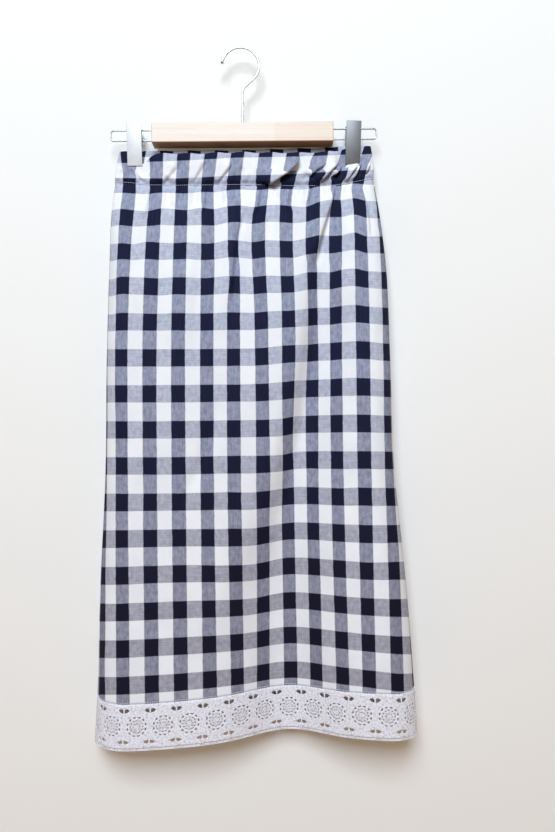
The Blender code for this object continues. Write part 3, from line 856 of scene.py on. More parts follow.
def from_path(places: tuple, x: Array, drop: Array) -> tuple[Array, ...]:
    """Where points lie by a path in the cloth.

    Args:
        places: The path, as X and the drop below the waist stitching.
        x: X of each point.
        drop: The drop of each point.

    Returns:
        The distance of each point from the path, above 0 on its right, how far along it lies, from 0 to 1,
        and the two parts of the way to the right.
    """
    line = np.array(places)
    lengths = line_lengths(line)
    nearest = np.full(x.shape, np.inf)
    found = np.zeros((4, *x.shape))
    for start, end, begin in zip(line[:-1], line[1:], lengths):
        step = end - start
        long = float(np.hypot(*step))
        t = np.clip(((x - start[0]) * step[0] + (drop - start[1]) * step[1]) / long ** 2, 0.0, 1.0)
        distance = np.hypot(x - start[0] - t * step[0], drop - start[1] - t * step[1])
        right = np.array((-step[1], step[0])) / long * (1.0 if step[1] < 0.0 else -1.0)
        sign = np.where((x - start[0]) * right[0] + (drop - start[1]) * right[1] > 0.0, 1.0, -1.0)
        closer = distance < nearest
        nearest = np.where(closer, distance, nearest)
        here = (distance * sign, (begin + t * long) / lengths[-1], right[0], right[1])
        for index, value in enumerate(here):
            found[index] = np.where(closer, value, found[index])
    return tuple(found)


def crease_depth(creases: tuple[Crease, ...], x: Array, drop: Array) -> Array:
    """How far the creases move the cloth inwards.

    Args:
        creases: The creases of one piece.
        x: X of each point.
        drop: The drop of each point below the waist stitching.

    Returns:
        A depth for each point.
    """
    total = np.zeros_like(x)
    for crease in creases:
        away, along, _, _ = from_path(crease.places, x, drop)
        taper = smooth_step(np.minimum(along, 1.0 - along) / 0.35) * 0.85 + 0.15
        width = crease.width * np.where(away > 0.0, 1.0 - crease.lean, 1.0 + crease.lean)
        trough = np.exp(-(away / width) ** 2)
        lip = np.exp(-((np.abs(away) - 2.0 * width) / width) ** 2)
        total += crease.depth * taper * (trough - crease.lip * lip)
    return total


def tuck_moves(tucks: tuple[Tuck, ...], x: Array, drop: Array) -> Array:
    """How the tucks move the cloth.

    Args:
        tucks: The tucks of one piece.
        x: X of each point.
        drop: The drop of each point below the waist stitching.

    Returns:
        Three rows: the moves inwards, which are below 0 on a ridge, those along X and those down.
    """
    total = np.zeros((3, len(x)))
    for tuck in tucks:
        away, along, right_x, right_drop = from_path(tuck.places, x, drop)
        width = tuck.starts + (tuck.ends - tuck.starts) * along
        climb = np.exp(-((away + width) / tuck.spread) ** 2)
        across = smooth_step((away + width) / width)
        steep = (tuck.rise + tuck.sink) * across - tuck.rise
        beyond = tuck.sink * np.exp(-(away / (0.6 * tuck.spread)) ** 2)
        depth = np.where(away < -width, -tuck.rise * climb, np.where(away < 0.0, steep, beyond))
        lean = tuck.over * np.where(away < -width, climb ** 2, np.where(away < 0.0, 1.0 - across, 0.0))
        taper = smooth_step(np.minimum(along, 1.0 - along) / 0.25)
        total += taper * np.stack((depth, lean * right_x, lean * right_drop))
    return total


@dataclass(frozen=True)
class ColumnSight:
    """Where the photograph shows the middles of the dark columns of the front, in its pixels.

    Attributes:
        drop: The level, below the waist stitching.
        columns: The pixel column of each middle, from the left.
    """

    drop: float
    columns: tuple[float, ...]


@dataclass(frozen=True)
class RowSight:
    """Where the photograph shows the top edge of one dark row of the front, in its pixels.

    Attributes:
        row: The number of the row, from the one that the waist stitching crosses.
        columns: The pixel columns that it is read at, from the left.
        tops: The pixel row of that edge at each of them.
    """

    row: int
    columns: tuple[float, ...]
    tops: tuple[float, ...]


COLUMN_SIGHTS = table(ColumnSight, (
    (-0.045, (127.0, 156.0, 184.0, 211.2, 237.8, 266.0, 293.8, 321.6, 347.5, 370.0)),
    (0.0, (129.5, 156.0, 182.0, 207.5, 233.5, 262.5, 287.5, 314.5, 336.5, 358.0)),
    (0.048, (126.7, 154.0, 181.0, 207.9, 234.3, 259.0, 286.4, 312.7, 336.1, 359.5)),
    (0.194, (121.5, 149.9, 178.2, 207.0, 233.4, 261.4, 288.5, 312.6, 335.9, 362.5)),
    (0.382, (121.3, 149.9, 178.6, 207.3, 233.9, 263.2, 287.7, 312.4, 337.0, 364.2)),
    (0.688, (122.8, 152.0, 181.0, 210.0, 237.5, 263.0, 291.0, 316.5, 343.0, 369.0)),
))
WIDE_STEPS = (122.0, 181.0, 237.0, 291.0, 343.0, 398.0)
FINE_STEPS = (112.0, 120.0, 133.0, 147.0, 160.0, 174.0, 187.0, 201.0, 215.0, 228.0, 240.0, 253.0,
              266.0, 281.0, 293.0, 308.0, 318.0, 331.0, 342.0, 356.0, 365.0, 378.0, 398.0)
RIGHT_STEPS = (115.0, 186.0, 232.0, 256.0, 267.0, 282.0, 296.0, 307.0, 317.0, 331.0, 342.0, 357.0,
               369.0, 382.0, 398.0)
ROW_SIGHTS = table(RowSight, (
    (-1, WIDE_STEPS, (149.0, 144.2, 141.2, 140.3, 140.0, 138.4)),
    (0, WIDE_STEPS, (178.0, 178.2, 175.4, 174.2, 170.8, 169.0)),
    (1, FINE_STEPS, (
        210.2, 209.0, 210.2, 211.3, 208.6, 209.3, 210.2, 208.0, 209.0, 206.3, 205.5, 207.0,
        205.5, 205.2, 206.3, 206.4, 202.3, 199.8, 200.2, 198.4, 200.6, 201.5, 203.0)),
    (2, FINE_STEPS, (
        244.2, 243.2, 244.2, 241.9, 242.7, 243.2, 242.3, 243.5, 243.0, 240.3, 240.7, 242.1,
        240.2, 240.7, 241.0, 237.9, 235.5, 236.0, 235.2, 232.7, 236.0, 236.5, 236.8)),
    (3, FINE_STEPS, (
        279.5, 276.9, 277.3, 277.8, 278.4, 277.1, 277.4, 278.2, 277.3, 276.0, 276.3, 277.0,
        275.7, 276.0, 275.8, 272.4, 272.2, 272.2, 269.8, 268.8, 270.8, 271.7, 272.0)),
    (5, RIGHT_STEPS, (
        349.2, 349.1, 348.7, 348.3, 347.5, 345.8, 345.0, 344.7, 343.7, 343.0, 342.0, 341.2,
        341.7, 343.3, 344.2)),
    (8, RIGHT_STEPS, (
        457.2, 456.9, 455.9, 455.7, 455.5, 454.8, 452.0, 451.2, 451.2, 451.2, 451.2, 451.3,
        451.3, 451.5, 451.8)),
    (9, RIGHT_STEPS, (
        493.6, 493.2, 492.2, 492.1, 490.8, 488.6, 487.1, 487.0, 487.2, 487.8, 488.2, 487.6,
        487.7, 487.9, 488.0)),
    (11, RIGHT_STEPS, (
        567.0, 565.0, 565.2, 563.8, 561.5, 558.3, 557.5, 557.9, 558.5, 559.6, 560.5, 561.8,
        562.4, 562.3, 561.7)),
    (14, WIDE_STEPS, (677.0, 673.3, 668.4, 661.1, 667.2, 673.5)),
))


@dataclass(frozen=True)
class CheckLayout:
    camera: PhotoCamera
    gingham: GinghamFinish
    back_start: float = 0.0120
    back_stretch: float = 1.02

    def front_across(self, grid: Array, drops: Array) -> Array:
        """The cloth's place across for each point of a front grid, row by row."""
        levels = np.array([sight.drop for sight in COLUMN_SIGHTS])
        table = np.array([sight.columns for sight in COLUMN_SIGHTS])
        numbers = np.arange(table.shape[1]) * self.gingham.column_period
        across = np.zeros(grid.shape[:2])
        for row, seen in enumerate(self.camera.sight(grid)[..., 0]):
            drop = np.array(drops[row])
            columns = np.array([float(hermite(levels, column, drop)) for column in table.T])
            lengths = line_lengths(grid[row])
            rising = np.maximum.accumulate(seen + np.arange(len(seen)) * 1e-6)
            middles = np.interp(columns, rising, lengths)
            beyond = np.minimum(lengths - middles[0], 0.0) + np.maximum(lengths - middles[-1], 0.0)
            across[row] = hermite(middles, numbers, lengths) + beyond
        return across

    def front_along(self, grid: Array) -> Array:
        """The cloth's place along for each point of a front grid."""
        seen = self.camera.sight(grid)
        edges = [hermite(np.array(sight.columns), np.array(sight.tops), seen[..., 0]) for sight in ROW_SIGHTS]
        last = len(ROW_SIGHTS) - 2
        along = np.zeros_like(seen[..., 1])
        for index, (low, high) in enumerate(zip(ROW_SIGHTS[:-1], ROW_SIGHTS[1:])):
            share = (seen[..., 1] - edges[index]) / (edges[index + 1] - edges[index])
            here = ((share >= 0.0) | (index == 0)) & ((share < 1.0) | (index == last))
            along = np.where(here, low.row + share * (high.row - low.row), along)
        return along * self.gingham.row_period

    def back_along(self, grid: Array, left: Array, right: Array) -> Array:
        """The place along for a back grid, between those of the front at the two side seams."""
        x = grid[..., 0]
        share = (x - x[:, :1]) / (x[:, -1:] - x[:, :1])
        return left[:, None] * (1.0 - share) + right[:, None] * share

    def back_across(self, grid: Array) -> Array:
        """The place across for a back grid, by its length from the left seam."""
        rows = [line_lengths(row) for row in grid]
        return np.array(rows) / self.back_stretch + self.back_start


# Meshes

def add_grid(name: str, points: Array, uv: Array, flip: bool, closed: bool = False) -> Object:
    """A smooth sheet through a grid of points.

    Args:
        name: The piece's name.
        points: Rows and columns of points.
        uv: The cloth's place across and along at each point.
        flip: Turn the faces round.
        closed: Join the last row to the first.

    Returns:
        The new object.
    """
    rows, columns = points.shape[:2]
    index = np.arange(rows * columns).reshape(rows, columns)
    if closed:
        index = np.vstack((index, index[:1]))
    corners = np.stack((index[:-1, :-1], index[1:, :-1], index[1:, 1:], index[:-1, 1:]), axis=-1)
    corners = corners.reshape(-1, 4)[:, ::-1 if flip else 1]
    mesh = bpy.data.meshes.new(name)
    mesh.from_pydata(points.reshape(-1, 3).tolist(), [], corners.tolist())
    layer = mesh.uv_layers.new(name="cloth")
    loops = np.zeros(len(mesh.loops), dtype=np.int32)
    mesh.loops.foreach_get("vertex_index", loops)
    layer.data.foreach_set("uv", uv.reshape(-1, 2)[loops].astype(np.float32).ravel())
    mesh.validate()
    mesh.shade_smooth()
    return link_object(name, mesh)


def points_at(line: Array, lengths: Array, places: Array) -> Array:
    """The points that lie at some places along a line, given the length at each of its own points."""
    return np.column_stack([np.interp(places, lengths, column) for column in line.T])


def resample(line: Array, columns: int, crowding: float) -> Array:
    """Points along a line, crowded at its ends.

    Args:
        line: XY points.
        columns: How many points to give.
        crowding: How strongly they crowd, from 0 to below 1.

    Returns:
        The XY points.
    """
    lengths = line_lengths(line)
    even = np.linspace(0.0, 1.0, columns)
    places = (even - crowding * np.sin(TURN * even) / TURN) * lengths[-1]
    return points_at(line, lengths, places)


def between_cells(values: Array, row: object, column: object, down: object, right: object) -> Array:
    """Read a table between a cell and the next, at shares of the way down and to the right."""
    upper = values[row, column] * (1 - right) + values[row, column + 1] * right
    lower = values[row + 1, column] * (1 - right) + values[row + 1, column + 1] * right
    return upper * (1 - down) + lower * down


def activate(piece: Object | None = None) -> None:
    """Leave nothing selected but one piece, which becomes the active one."""
    for item in bpy.context.selected_objects:
        item.select_set(False)
    if piece:
        piece.select_set(True)
        bpy.context.view_layer.objects.active = piece


def cut_plane(shape: bmesh.types.BMesh, spot: Vector, way: Vector, clear: bool = False) -> None:
    """Cut a flat mesh along a plane, and drop what lies its way out where it is told to clear."""
    everything = [*shape.verts, *shape.edges, *shape.faces]
    bmesh.ops.bisect_plane(shape, geom=everything, plane_co=spot, plane_no=way, clear_outer=clear, dist=1e-7)


def give(piece: Object, material: Material, slot: str, *nodes: str) -> None:
    """Dress a piece, let it ride on the body and stand for CAD nodes.

    Args:
        piece: The finished piece.
        material: Its material.
        slot: A material slot's name; it is not used.
        nodes: The CAD nodes that it stands for.
    """
    piece.data.materials.clear()
    piece.data.materials.append(material)
    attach(piece, BODY)
    if nodes:
        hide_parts(*nodes)
    LOG.info("%s: %d faces", piece.name, len(piece.data.polygons))


# Cloth pieces

PANEL_CREASES = {
    Side.FRONT: table(Crease, (
        (((-0.1, 0.004), (-0.099, 0.03)), 0.0026, 0.0034),
        (((-0.064, 0.002), (-0.063, 0.038)), 0.0026, 0.0034),
        (((-0.02, 0.002), (-0.019, 0.034)), 0.0028, 0.0036), (((0.05, 0.0), (0.049, 0.024)), 0.0026, 0.003),
        (((0.086, 0.0), (0.085, 0.02)), 0.0026, 0.003), (((0.113, 0.0), (0.114, 0.018)), 0.0028, 0.003),
        (((0.148, 0.0), (0.15, 0.02)), 0.0026, 0.003), (((0.106, 0.086), (0.1, 0.126)), 0.003, 0.0055),
        (((-0.0226, 0.285), (-0.0453, 0.38), (-0.0788, 0.45)), 0.0026, 0.009, 0.4),
        (((-0.15, 0.024), (-0.156, 0.09), (-0.154, 0.18)), 0.0028, 0.007),
        (((0.045, 0.014), (0.038, 0.1), (0.033, 0.22)), 0.0028, 0.0085),
        (((-0.095, 0.05), (-0.101, 0.15), (-0.098, 0.3)), 0.0018, 0.012, 0.4),
        (((-0.05, 0.07), (-0.056, 0.16), (-0.054, 0.26)), 0.002, 0.01, 0.4),
    )),
    Side.BACK: table(Crease, (
        (((-0.132, 0.004), (-0.129, 0.044)), 0.0032, 0.0036),
        (((-0.096, 0.0), (-0.099, 0.034)), 0.0026, 0.0032),
        (((-0.021, 0.002), (-0.018, 0.048)), 0.0034, 0.0038),
        (((0.028, 0.0), (0.033, 0.03)), 0.0028, 0.0032), (((0.07, 0.002), (0.066, 0.04)), 0.0032, 0.0034),
        (((0.14, 0.0), (0.145, 0.046)), 0.0036, 0.0038),
        (((0.01, 0.05), (0.016, 0.17), (0.014, 0.3)), 0.0032, 0.0115, 0.4),
        (((0.156, 0.19), (0.14, 0.33), (0.148, 0.49)), 0.0026, 0.0125, 0.4),
        (((-0.03, 0.37), (-0.018, 0.52), (-0.024, 0.68)), 0.003, 0.0145, 0.4),
    )),
}
PANEL_TUCKS = {
    Side.FRONT: table(Tuck, (
        (((0.1365, -0.004), (0.129, 0.0246), (0.1221, 0.0483), (0.1123, 0.083), (0.1054, 0.125)),
         0.005, 0.003, 0.004, 0.0075, 0.013, 0.002),
        (((0.166, -0.006), (0.17, 0.014), (0.1763, 0.0413), (0.1819, 0.09)),
         0.0042, 0.001, 0.0034, 0.0056, 0.009, 0.0016),
        (((0.011, 0.028), (0.0066, 0.0427), (-0.0018, 0.0761), (-0.0059, 0.1248), (-0.009, 0.18)),
         0.0032, 0.0018, 0.0038, 0.007, 0.013, 0.0014),
        (((0.072, -0.008), (0.0706, 0.006), (0.0672, 0.046)), 0.003, 0.0012, 0.003, 0.0046, 0.009, 0.001),
        (((0.1005, -0.007), (0.0998, 0.006), (0.095, 0.034)), 0.0028, 0.0012, 0.003, 0.0042, 0.008, 0.001),
        (((0.035, -0.008), (0.0302, 0.0065), (0.024, 0.052)), 0.0036, 0.0014, 0.003, 0.005, 0.01, 0.001),
        (((-0.044, -0.008), (-0.0448, 0.006), (-0.0478, 0.049)),
         0.0026, 0.0012, 0.003, 0.005, 0.01, 0.0008),
        (((-0.0835, -0.007), (-0.0838, 0.005), (-0.087, 0.034)),
         0.0024, 0.001, 0.003, 0.0046, 0.01, 0.0008),
        (((-0.122, -0.008), (-0.123, 0.006), (-0.1275, 0.056)),
         0.0026, 0.0012, 0.0034, 0.0056, 0.011, 0.0008),
    )),
    Side.BACK: table(Tuck, (
        (((-0.113, -0.006), (-0.116, 0.02), (-0.123, 0.07)), 0.0032, 0.0014, 0.0034, 0.0056, 0.011, 0.0012),
        (((-0.056, -0.006), (-0.059, 0.018), (-0.058, 0.056)), 0.0028, 0.0012, 0.003, 0.005, 0.01, 0.0008),
        (((0.05, -0.006), (0.048, 0.024), (0.042, 0.09)), 0.0038, 0.0018, 0.0036, 0.0066, 0.012, 0.0016),
        (((0.108, -0.006), (0.11, 0.018), (0.116, 0.048)), 0.003, 0.0012, 0.003, 0.0046, 0.01, 0.001),
    )),
}
CASING_CREASES = {
    Side.FRONT: table(Crease, (
        (((-0.1645, -0.027), (-0.149, -0.011)), 0.0032, 0.0034, 0.5, -0.2),
        (((-0.1465, -0.0105), (-0.1287, 0.0)), 0.003, 0.0034, 0.5),
        (((-0.107, -0.009), (-0.093, 0.0)), 0.0026, 0.0034, 0.5),
        (((-0.088, -0.016), (-0.078, -0.038)), 0.0026, 0.005, 0.4),
        (((-0.004, -0.004), (0.006, -0.024)), 0.0026, 0.0044, 0.5),
        (((0.086, -0.006), (0.096, -0.016)), 0.0024, 0.0036, 0.4),
    )),
    Side.BACK: table(Crease, (
        (((-0.062, -0.001), (-0.056, -0.028)), 0.0026, 0.0034, 0.5),
        (((0.062, 0.0), (0.054, -0.022)), 0.0026, 0.0032, 0.5),
        (((0.145, -0.004), (0.138, -0.026)), 0.0026, 0.0032, 0.5),
    )),
}
CASING_TUCKS = {
    Side.FRONT: table(Tuck, (
        (((0.025, 0.005), (0.0414, -0.0018), (0.0539, -0.0102), (0.0664, -0.0178), (0.0775, -0.0268),
         (0.086, -0.052)), 0.011, 0.0045, 0.0028, 0.007, 0.011, 0.0075),
        (((0.093, -0.008), (0.1053, -0.0185), (0.12, -0.027)), 0.004, 0.0022, 0.0022, 0.003, 0.008, 0.002),
        (((0.107, -0.002), (0.1179, -0.0115), (0.1262, -0.0199), (0.14, -0.029)),
         0.0074, 0.0036, 0.0022, 0.0034, 0.008, 0.0044),
        (((0.126, -0.008), (0.1332, -0.0143), (0.1429, -0.0227), (0.16, -0.03)),
         0.0068, 0.0034, 0.0022, 0.003, 0.006, 0.0038),
        (((0.144, 0.001), (0.1554, -0.0129), (0.168, -0.0268)),
         0.006, 0.0032, 0.0018, 0.0024, 0.005, 0.0032),
        (((0.1545, 0.002), (0.1638, -0.0157), (0.1721, -0.0255), (0.1775, -0.044)),
         0.0064, 0.0032, 0.002, 0.0028, 0.005, 0.0032),
        (((0.172, -0.004), (0.179, -0.016), (0.185, -0.028)),
         0.0048, 0.0026, 0.0018, 0.0024, 0.005, 0.0022),
        (((-0.066, 0.001), (-0.056, -0.0157), (-0.044, -0.036)),
         0.0021, 0.0013, 0.0034, 0.0064, 0.015, 0.0002),
        (((-0.036, 0.004), (-0.024, -0.0088), (-0.008, -0.029)),
         0.003, 0.0018, 0.003, 0.005, 0.013, 0.0007),
        (((-0.112, 0.005), (-0.099, -0.008), (-0.084, -0.026)),
         0.0019, 0.0012, 0.0034, 0.006, 0.015, 0.0002),
    )),
    Side.BACK: table(Tuck, (
        (((-0.134, 0.002), (-0.12, -0.016), (-0.104, -0.04)), 0.0044, 0.0022, 0.0026, 0.0044, 0.011, 0.002),
        (((-0.096, 0.001), (-0.086, -0.012), (-0.076, -0.026)),
         0.003, 0.0016, 0.0022, 0.0032, 0.008, 0.0012),
        (((0.002, 0.002), (0.012, -0.016), (0.026, -0.038)), 0.005, 0.0024, 0.0026, 0.005, 0.012, 0.0028),
        (((0.096, 0.002), (0.106, -0.012), (0.12, -0.032)), 0.0038, 0.0018, 0.0024, 0.0036, 0.01, 0.0016),
    )),
}
WRINKLE_SEEDS = {Side.FRONT: 11, Side.BACK: 23}


@dataclass(frozen=True)
class SoftWrinkles:
    """Low uneven wrinkles of a cloth that has been worn and hung."""

    seed: int
    height: float = 0.00050
    cells_across: int = 30
    cells_down: int = 15

    def depth(self, across: Array, down: Array) -> Array:
        """How far the wrinkles move points.

        Args:
            across: The place across, from 0 to 1.
            down: The place down, from 0 to 1.

        Returns:
            A depth for each point.
        """
        rng = np.random.default_rng(self.seed)
        knots = rng.normal(size=(self.cells_down + 3, self.cells_across + 3))
        row, column = down * self.cells_down, across * self.cells_across
        low_row = np.clip(row.astype(int), 0, self.cells_down)
        low_column = np.clip(column.astype(int), 0, self.cells_across)
        shares = smooth_step(row - low_row), smooth_step(column - low_column)
        return self.height * between_cells(knots, low_row, low_column, *shares)


@dataclass(frozen=True)
class Puckers:
    """Small tucks that the elastic draws into the cloth just below its stitching."""

    spacing: float = 0.0125
    height: float = 0.00130
    reach: float = 0.030

    def depth(self, places: Array, drop: object) -> Array:
        """How far the tucks move points at their lengths along a level."""
        uneven = 0.9 * np.sin(places / 0.031 + 0.7) + 0.6 * np.sin(places / 0.0173 + 2.1)
        wave = np.sin(TURN * places / self.spacing + uneven * 2.0)
        strength = 0.55 + 0.45 * np.sin(places / 0.0237 + 1.3)
        return self.height * wave * strength * np.exp(-np.abs(drop) / self.reach * 2.0)


@dataclass
class SkirtPanel:
    """The front or the back of the skirt, from the waist stitching to the lace seam."""

    form: SkirtForm
    layout: CheckLayout
    side: Side
    rows: int = 200
    columns: int = 230
    crowding: float = 0.15
    wall: float = 0.0008
    cut_length: float = 0.703
    puff: float = 0.0022
    puff_start: float = 0.012
    puff_reach: float = 0.110
    side_ease: float = 0.014
    seam_ease: float = 0.030
    waist_ease: float = 0.004
    waist_room: float = 0.0014
    room_growth: float = 0.10
    puckers: Puckers = field(default_factory=Puckers)

    def drops(self) -> Array:
        """Levels of the grid's rows, closer together near the waist."""
        even = np.linspace(0.0, 1.0, self.rows)
        return self.form.seam_drop * (0.72 * even + 0.28 * even ** 2)

    def middle(self) -> Array:
        """The middle of the cloth as a grid of points.

        Returns:
            Rows and columns of XYZ points.
        """
        outward = self.side.outward
        wrinkles = SoftWrinkles(WRINKLE_SEEDS[self.side])
        share = np.linspace(0.0, 1.0, self.columns)
        grid = []
        for drop in self.drops():
            flat = resample(self.form.panel_line(self.side, float(drop)), self.columns, self.crowding)
            places = line_lengths(flat)
            x = flat[:, 0]
            level = np.full_like(x, drop)
            moved, along_x, down = tuck_moves(PANEL_TUCKS[self.side], x, level)
            moved += crease_depth(PANEL_CREASES[self.side], x, level)
            moved += self.puckers.depth(places, drop)
            moved += wrinkles.depth(share, level / self.form.seam_drop)
            past = smooth_step(drop / self.puff_reach)
            moved -= self.puff * smooth_step(drop / self.puff_start) * (1.0 - past)
            moved = hold_in(moved, self.waist_room + self.room_growth * drop)
            ease = smooth_step(np.minimum(places, places[-1] - places) / self.side_ease)
            ease = ease * smooth_step((self.form.seam_drop - drop) / self.seam_ease)
            ease = ease * smooth_step(drop / self.waist_ease)
            y = flat[:, 1] - outward * moved * ease
            y[[0, -1]] += outward * self.form.gap / 2
            z = self.form.panel_height(x, float(drop)) - down * ease
            grid.append(np.column_stack((x + along_x * ease, y, z)))
        return np.array(grid)

    def build(self, material: Material, front_sides: tuple | None) -> tuple:
        """Make the panel.

        Args:
            material: The gingham.
            front_sides: The places along of the front's two side seams, for the back.

        Returns:
            The places along of its own two side seams.
        """
        grid = self.middle()
        if self.side is Side.FRONT:
            across = self.layout.front_across(grid, self.drops())
            along = self.layout.front_along(grid)
        else:
            across = self.layout.back_across(grid)
            along = self.layout.back_along(grid, *front_sides)
        name = "panel_" + self.side.value
        piece = add_grid(name, grid, np.stack((across, along), axis=-1), self.side is Side.BACK)
        add_wall(piece, self.wall)
        give(piece, material, "gingham", "skirt_" + self.side.value)
        return along[:, 0], along[:, -1]


@dataclass
class WaistCasing:
    """The front or the back half of the elastic casing, folded double over its elastic."""

    form: SkirtForm
    layout: CheckLayout
    side: Side
    levels: int = 42
    fold_steps: int = 8
    columns: int = 420
    crowding: float = 0.10
    wall: float = 0.0022
    lap: float = 0.0014
    stitch_groove: float = 0.0004
    groove_reach: float = 0.0016
    back_period: float = 0.0400
    back_dark_middle: float = 167.0
    back_sight_period: float = 28.55
    back_row_top: float = 141.0
    puff: float = 0.0026
    room: float = 0.0034
    clip_rise: float = 0.017
    clip_ease: float = 0.008
    side_ease: float = 0.010
    edge_ease: float = 0.006
    pucker_ease: float = 0.004
    inner_share: float = 0.6
    steepest: float = 6.0
    scallop: float = 0.0009
    scallop_length: float = 0.0385
    puckers: Puckers = field(default_factory=lambda: Puckers(0.0118, 0.00110, 0.060))

    def profile(self) -> list[Pair]:
        """Rises and offsets from the middle of the wall: up the outer face, over the fold and down inside."""
        half = self.wall / 2
        top = self.form.casing_height - half
        climb = top + self.lap
        outer = [(climb * index / self.levels - self.lap, half) for index in range(self.levels + 1)]
        turns = [math.pi * index / self.fold_steps for index in range(1, self.fold_steps)]
        fold = [(top + half * math.sin(angle), half * math.cos(angle)) for angle in turns]
        inner = [(rise, -half) for rise, _ in reversed(outer)]
        return outer + fold + inner

    def row(self, rise: float, offset: float) -> tuple[Array, Array]:
        """One row of the shell.

        Args:
            rise: Its rise over the stitching.
            offset: How far out of the wall's middle it lies.

        Returns:
            Its points, and their lengths along.
        """
        form, outward = self.form, self.side.outward
        flat = resample(form.casing_line(self.side, float(rise)), self.columns, self.crowding)
        places = line_lengths(flat)
        x = flat[:, 0]
        held = form.pinch(x, float(rise)) * smooth_step((rise - self.clip_rise) / self.clip_ease)
        ease = smooth_step(np.minimum(places, places[-1] - places) / self.side_ease) * (1.0 - held)
        to_top = smooth_step((form.casing_height - rise) / self.edge_ease)
        low_high = smooth_step(rise / self.edge_ease) * (0.5 + 0.5 * to_top)
        drop = np.full_like(x, -rise)
        strength = 0.20 + 0.80 * low_high
        moved, along_x, down = tuck_moves(CASING_TUCKS[self.side], x, drop) * strength
        moved += crease_depth(CASING_CREASES[self.side], x, drop) * strength
        moved += self.puckers.depth(places, rise) * smooth_step(rise / self.pucker_ease)
        moved = hold_in(moved - self.puff * low_high, self.room)
        groove = self.stitch_groove * math.exp(-(rise / self.groove_reach) ** 2) if offset > 0.0 else 0.0
        ease = ease * (1.0 if offset >= 0.0 else self.inner_share)
        y = flat[:, 1] - outward * moved * ease
        slope = np.clip(np.gradient(y, x + np.arange(len(x)) * 1e-9), -self.steepest, self.steepest)
        length = np.sqrt(1.0 + slope ** 2)
        reach = offset - groove
        x_moved = x - outward * reach * slope / length
        y_moved = np.maximum((y + outward * reach / length) * outward, form.gap / 2) * outward
        wave = np.sin(TURN * x / self.scallop_length + 0.9)
        z = form.casing_height_at(self.side, x, float(rise)) - down * ease
        z += self.scallop * max(rise / form.casing_height, 0.0) ** 4 * wave * ease
        return np.column_stack((x_moved + along_x * ease, y_moved, z)), places

    def build(self, material: Material) -> None:
        """Make this half of the casing."""
        profile = self.profile()
        rows = [self.row(rise, offset) for rise, offset in profile]
        grid = np.array([points for points, _ in rows])
        turn_row = self.levels + self.fold_steps // 2
        outer = grid[: turn_row + 1]
        if self.side is Side.FRONT:
            across = self.layout.front_across(outer, [-rise for rise, _ in profile[: turn_row + 1]])
            along = self.layout.front_along(outer)
        else:
            pixel = self.layout.camera.sight(outer)
            across = (pixel[..., 0] - self.back_dark_middle) * self.back_period / self.back_sight_period
            along = (pixel[..., 1] - self.back_row_top) * self.layout.camera.pixel
        over = np.linalg.norm(np.diff(grid[turn_row:], axis=0), axis=-1).cumsum(axis=0)
        across = np.vstack((across, np.repeat(across[-1:], len(over), axis=0)))
        along = np.vstack((along, along[-1:] + self.side.outward * over))
        name = "waistband_" + self.side.value
        uv = np.stack((across, along), axis=-1)
        piece = add_grid(name, grid, uv, self.side is Side.FRONT, closed=True)
        close_ends(piece)
        give(piece, material, "gingham_casing", "casing_" + self.side.value)


# Half of a heart: the distance from the joint's middle, a drop in metres and a share of its height
HEART = ((0.0010, 0.0008, 0.0), (0.0040, -0.0006, 0.0), (0.0068, 0.0008, 0.0), (0.0072, 0.0, 0.42),
         (0.0046, 0.0, 0.86), (0.0008, 0.0, 1.0))


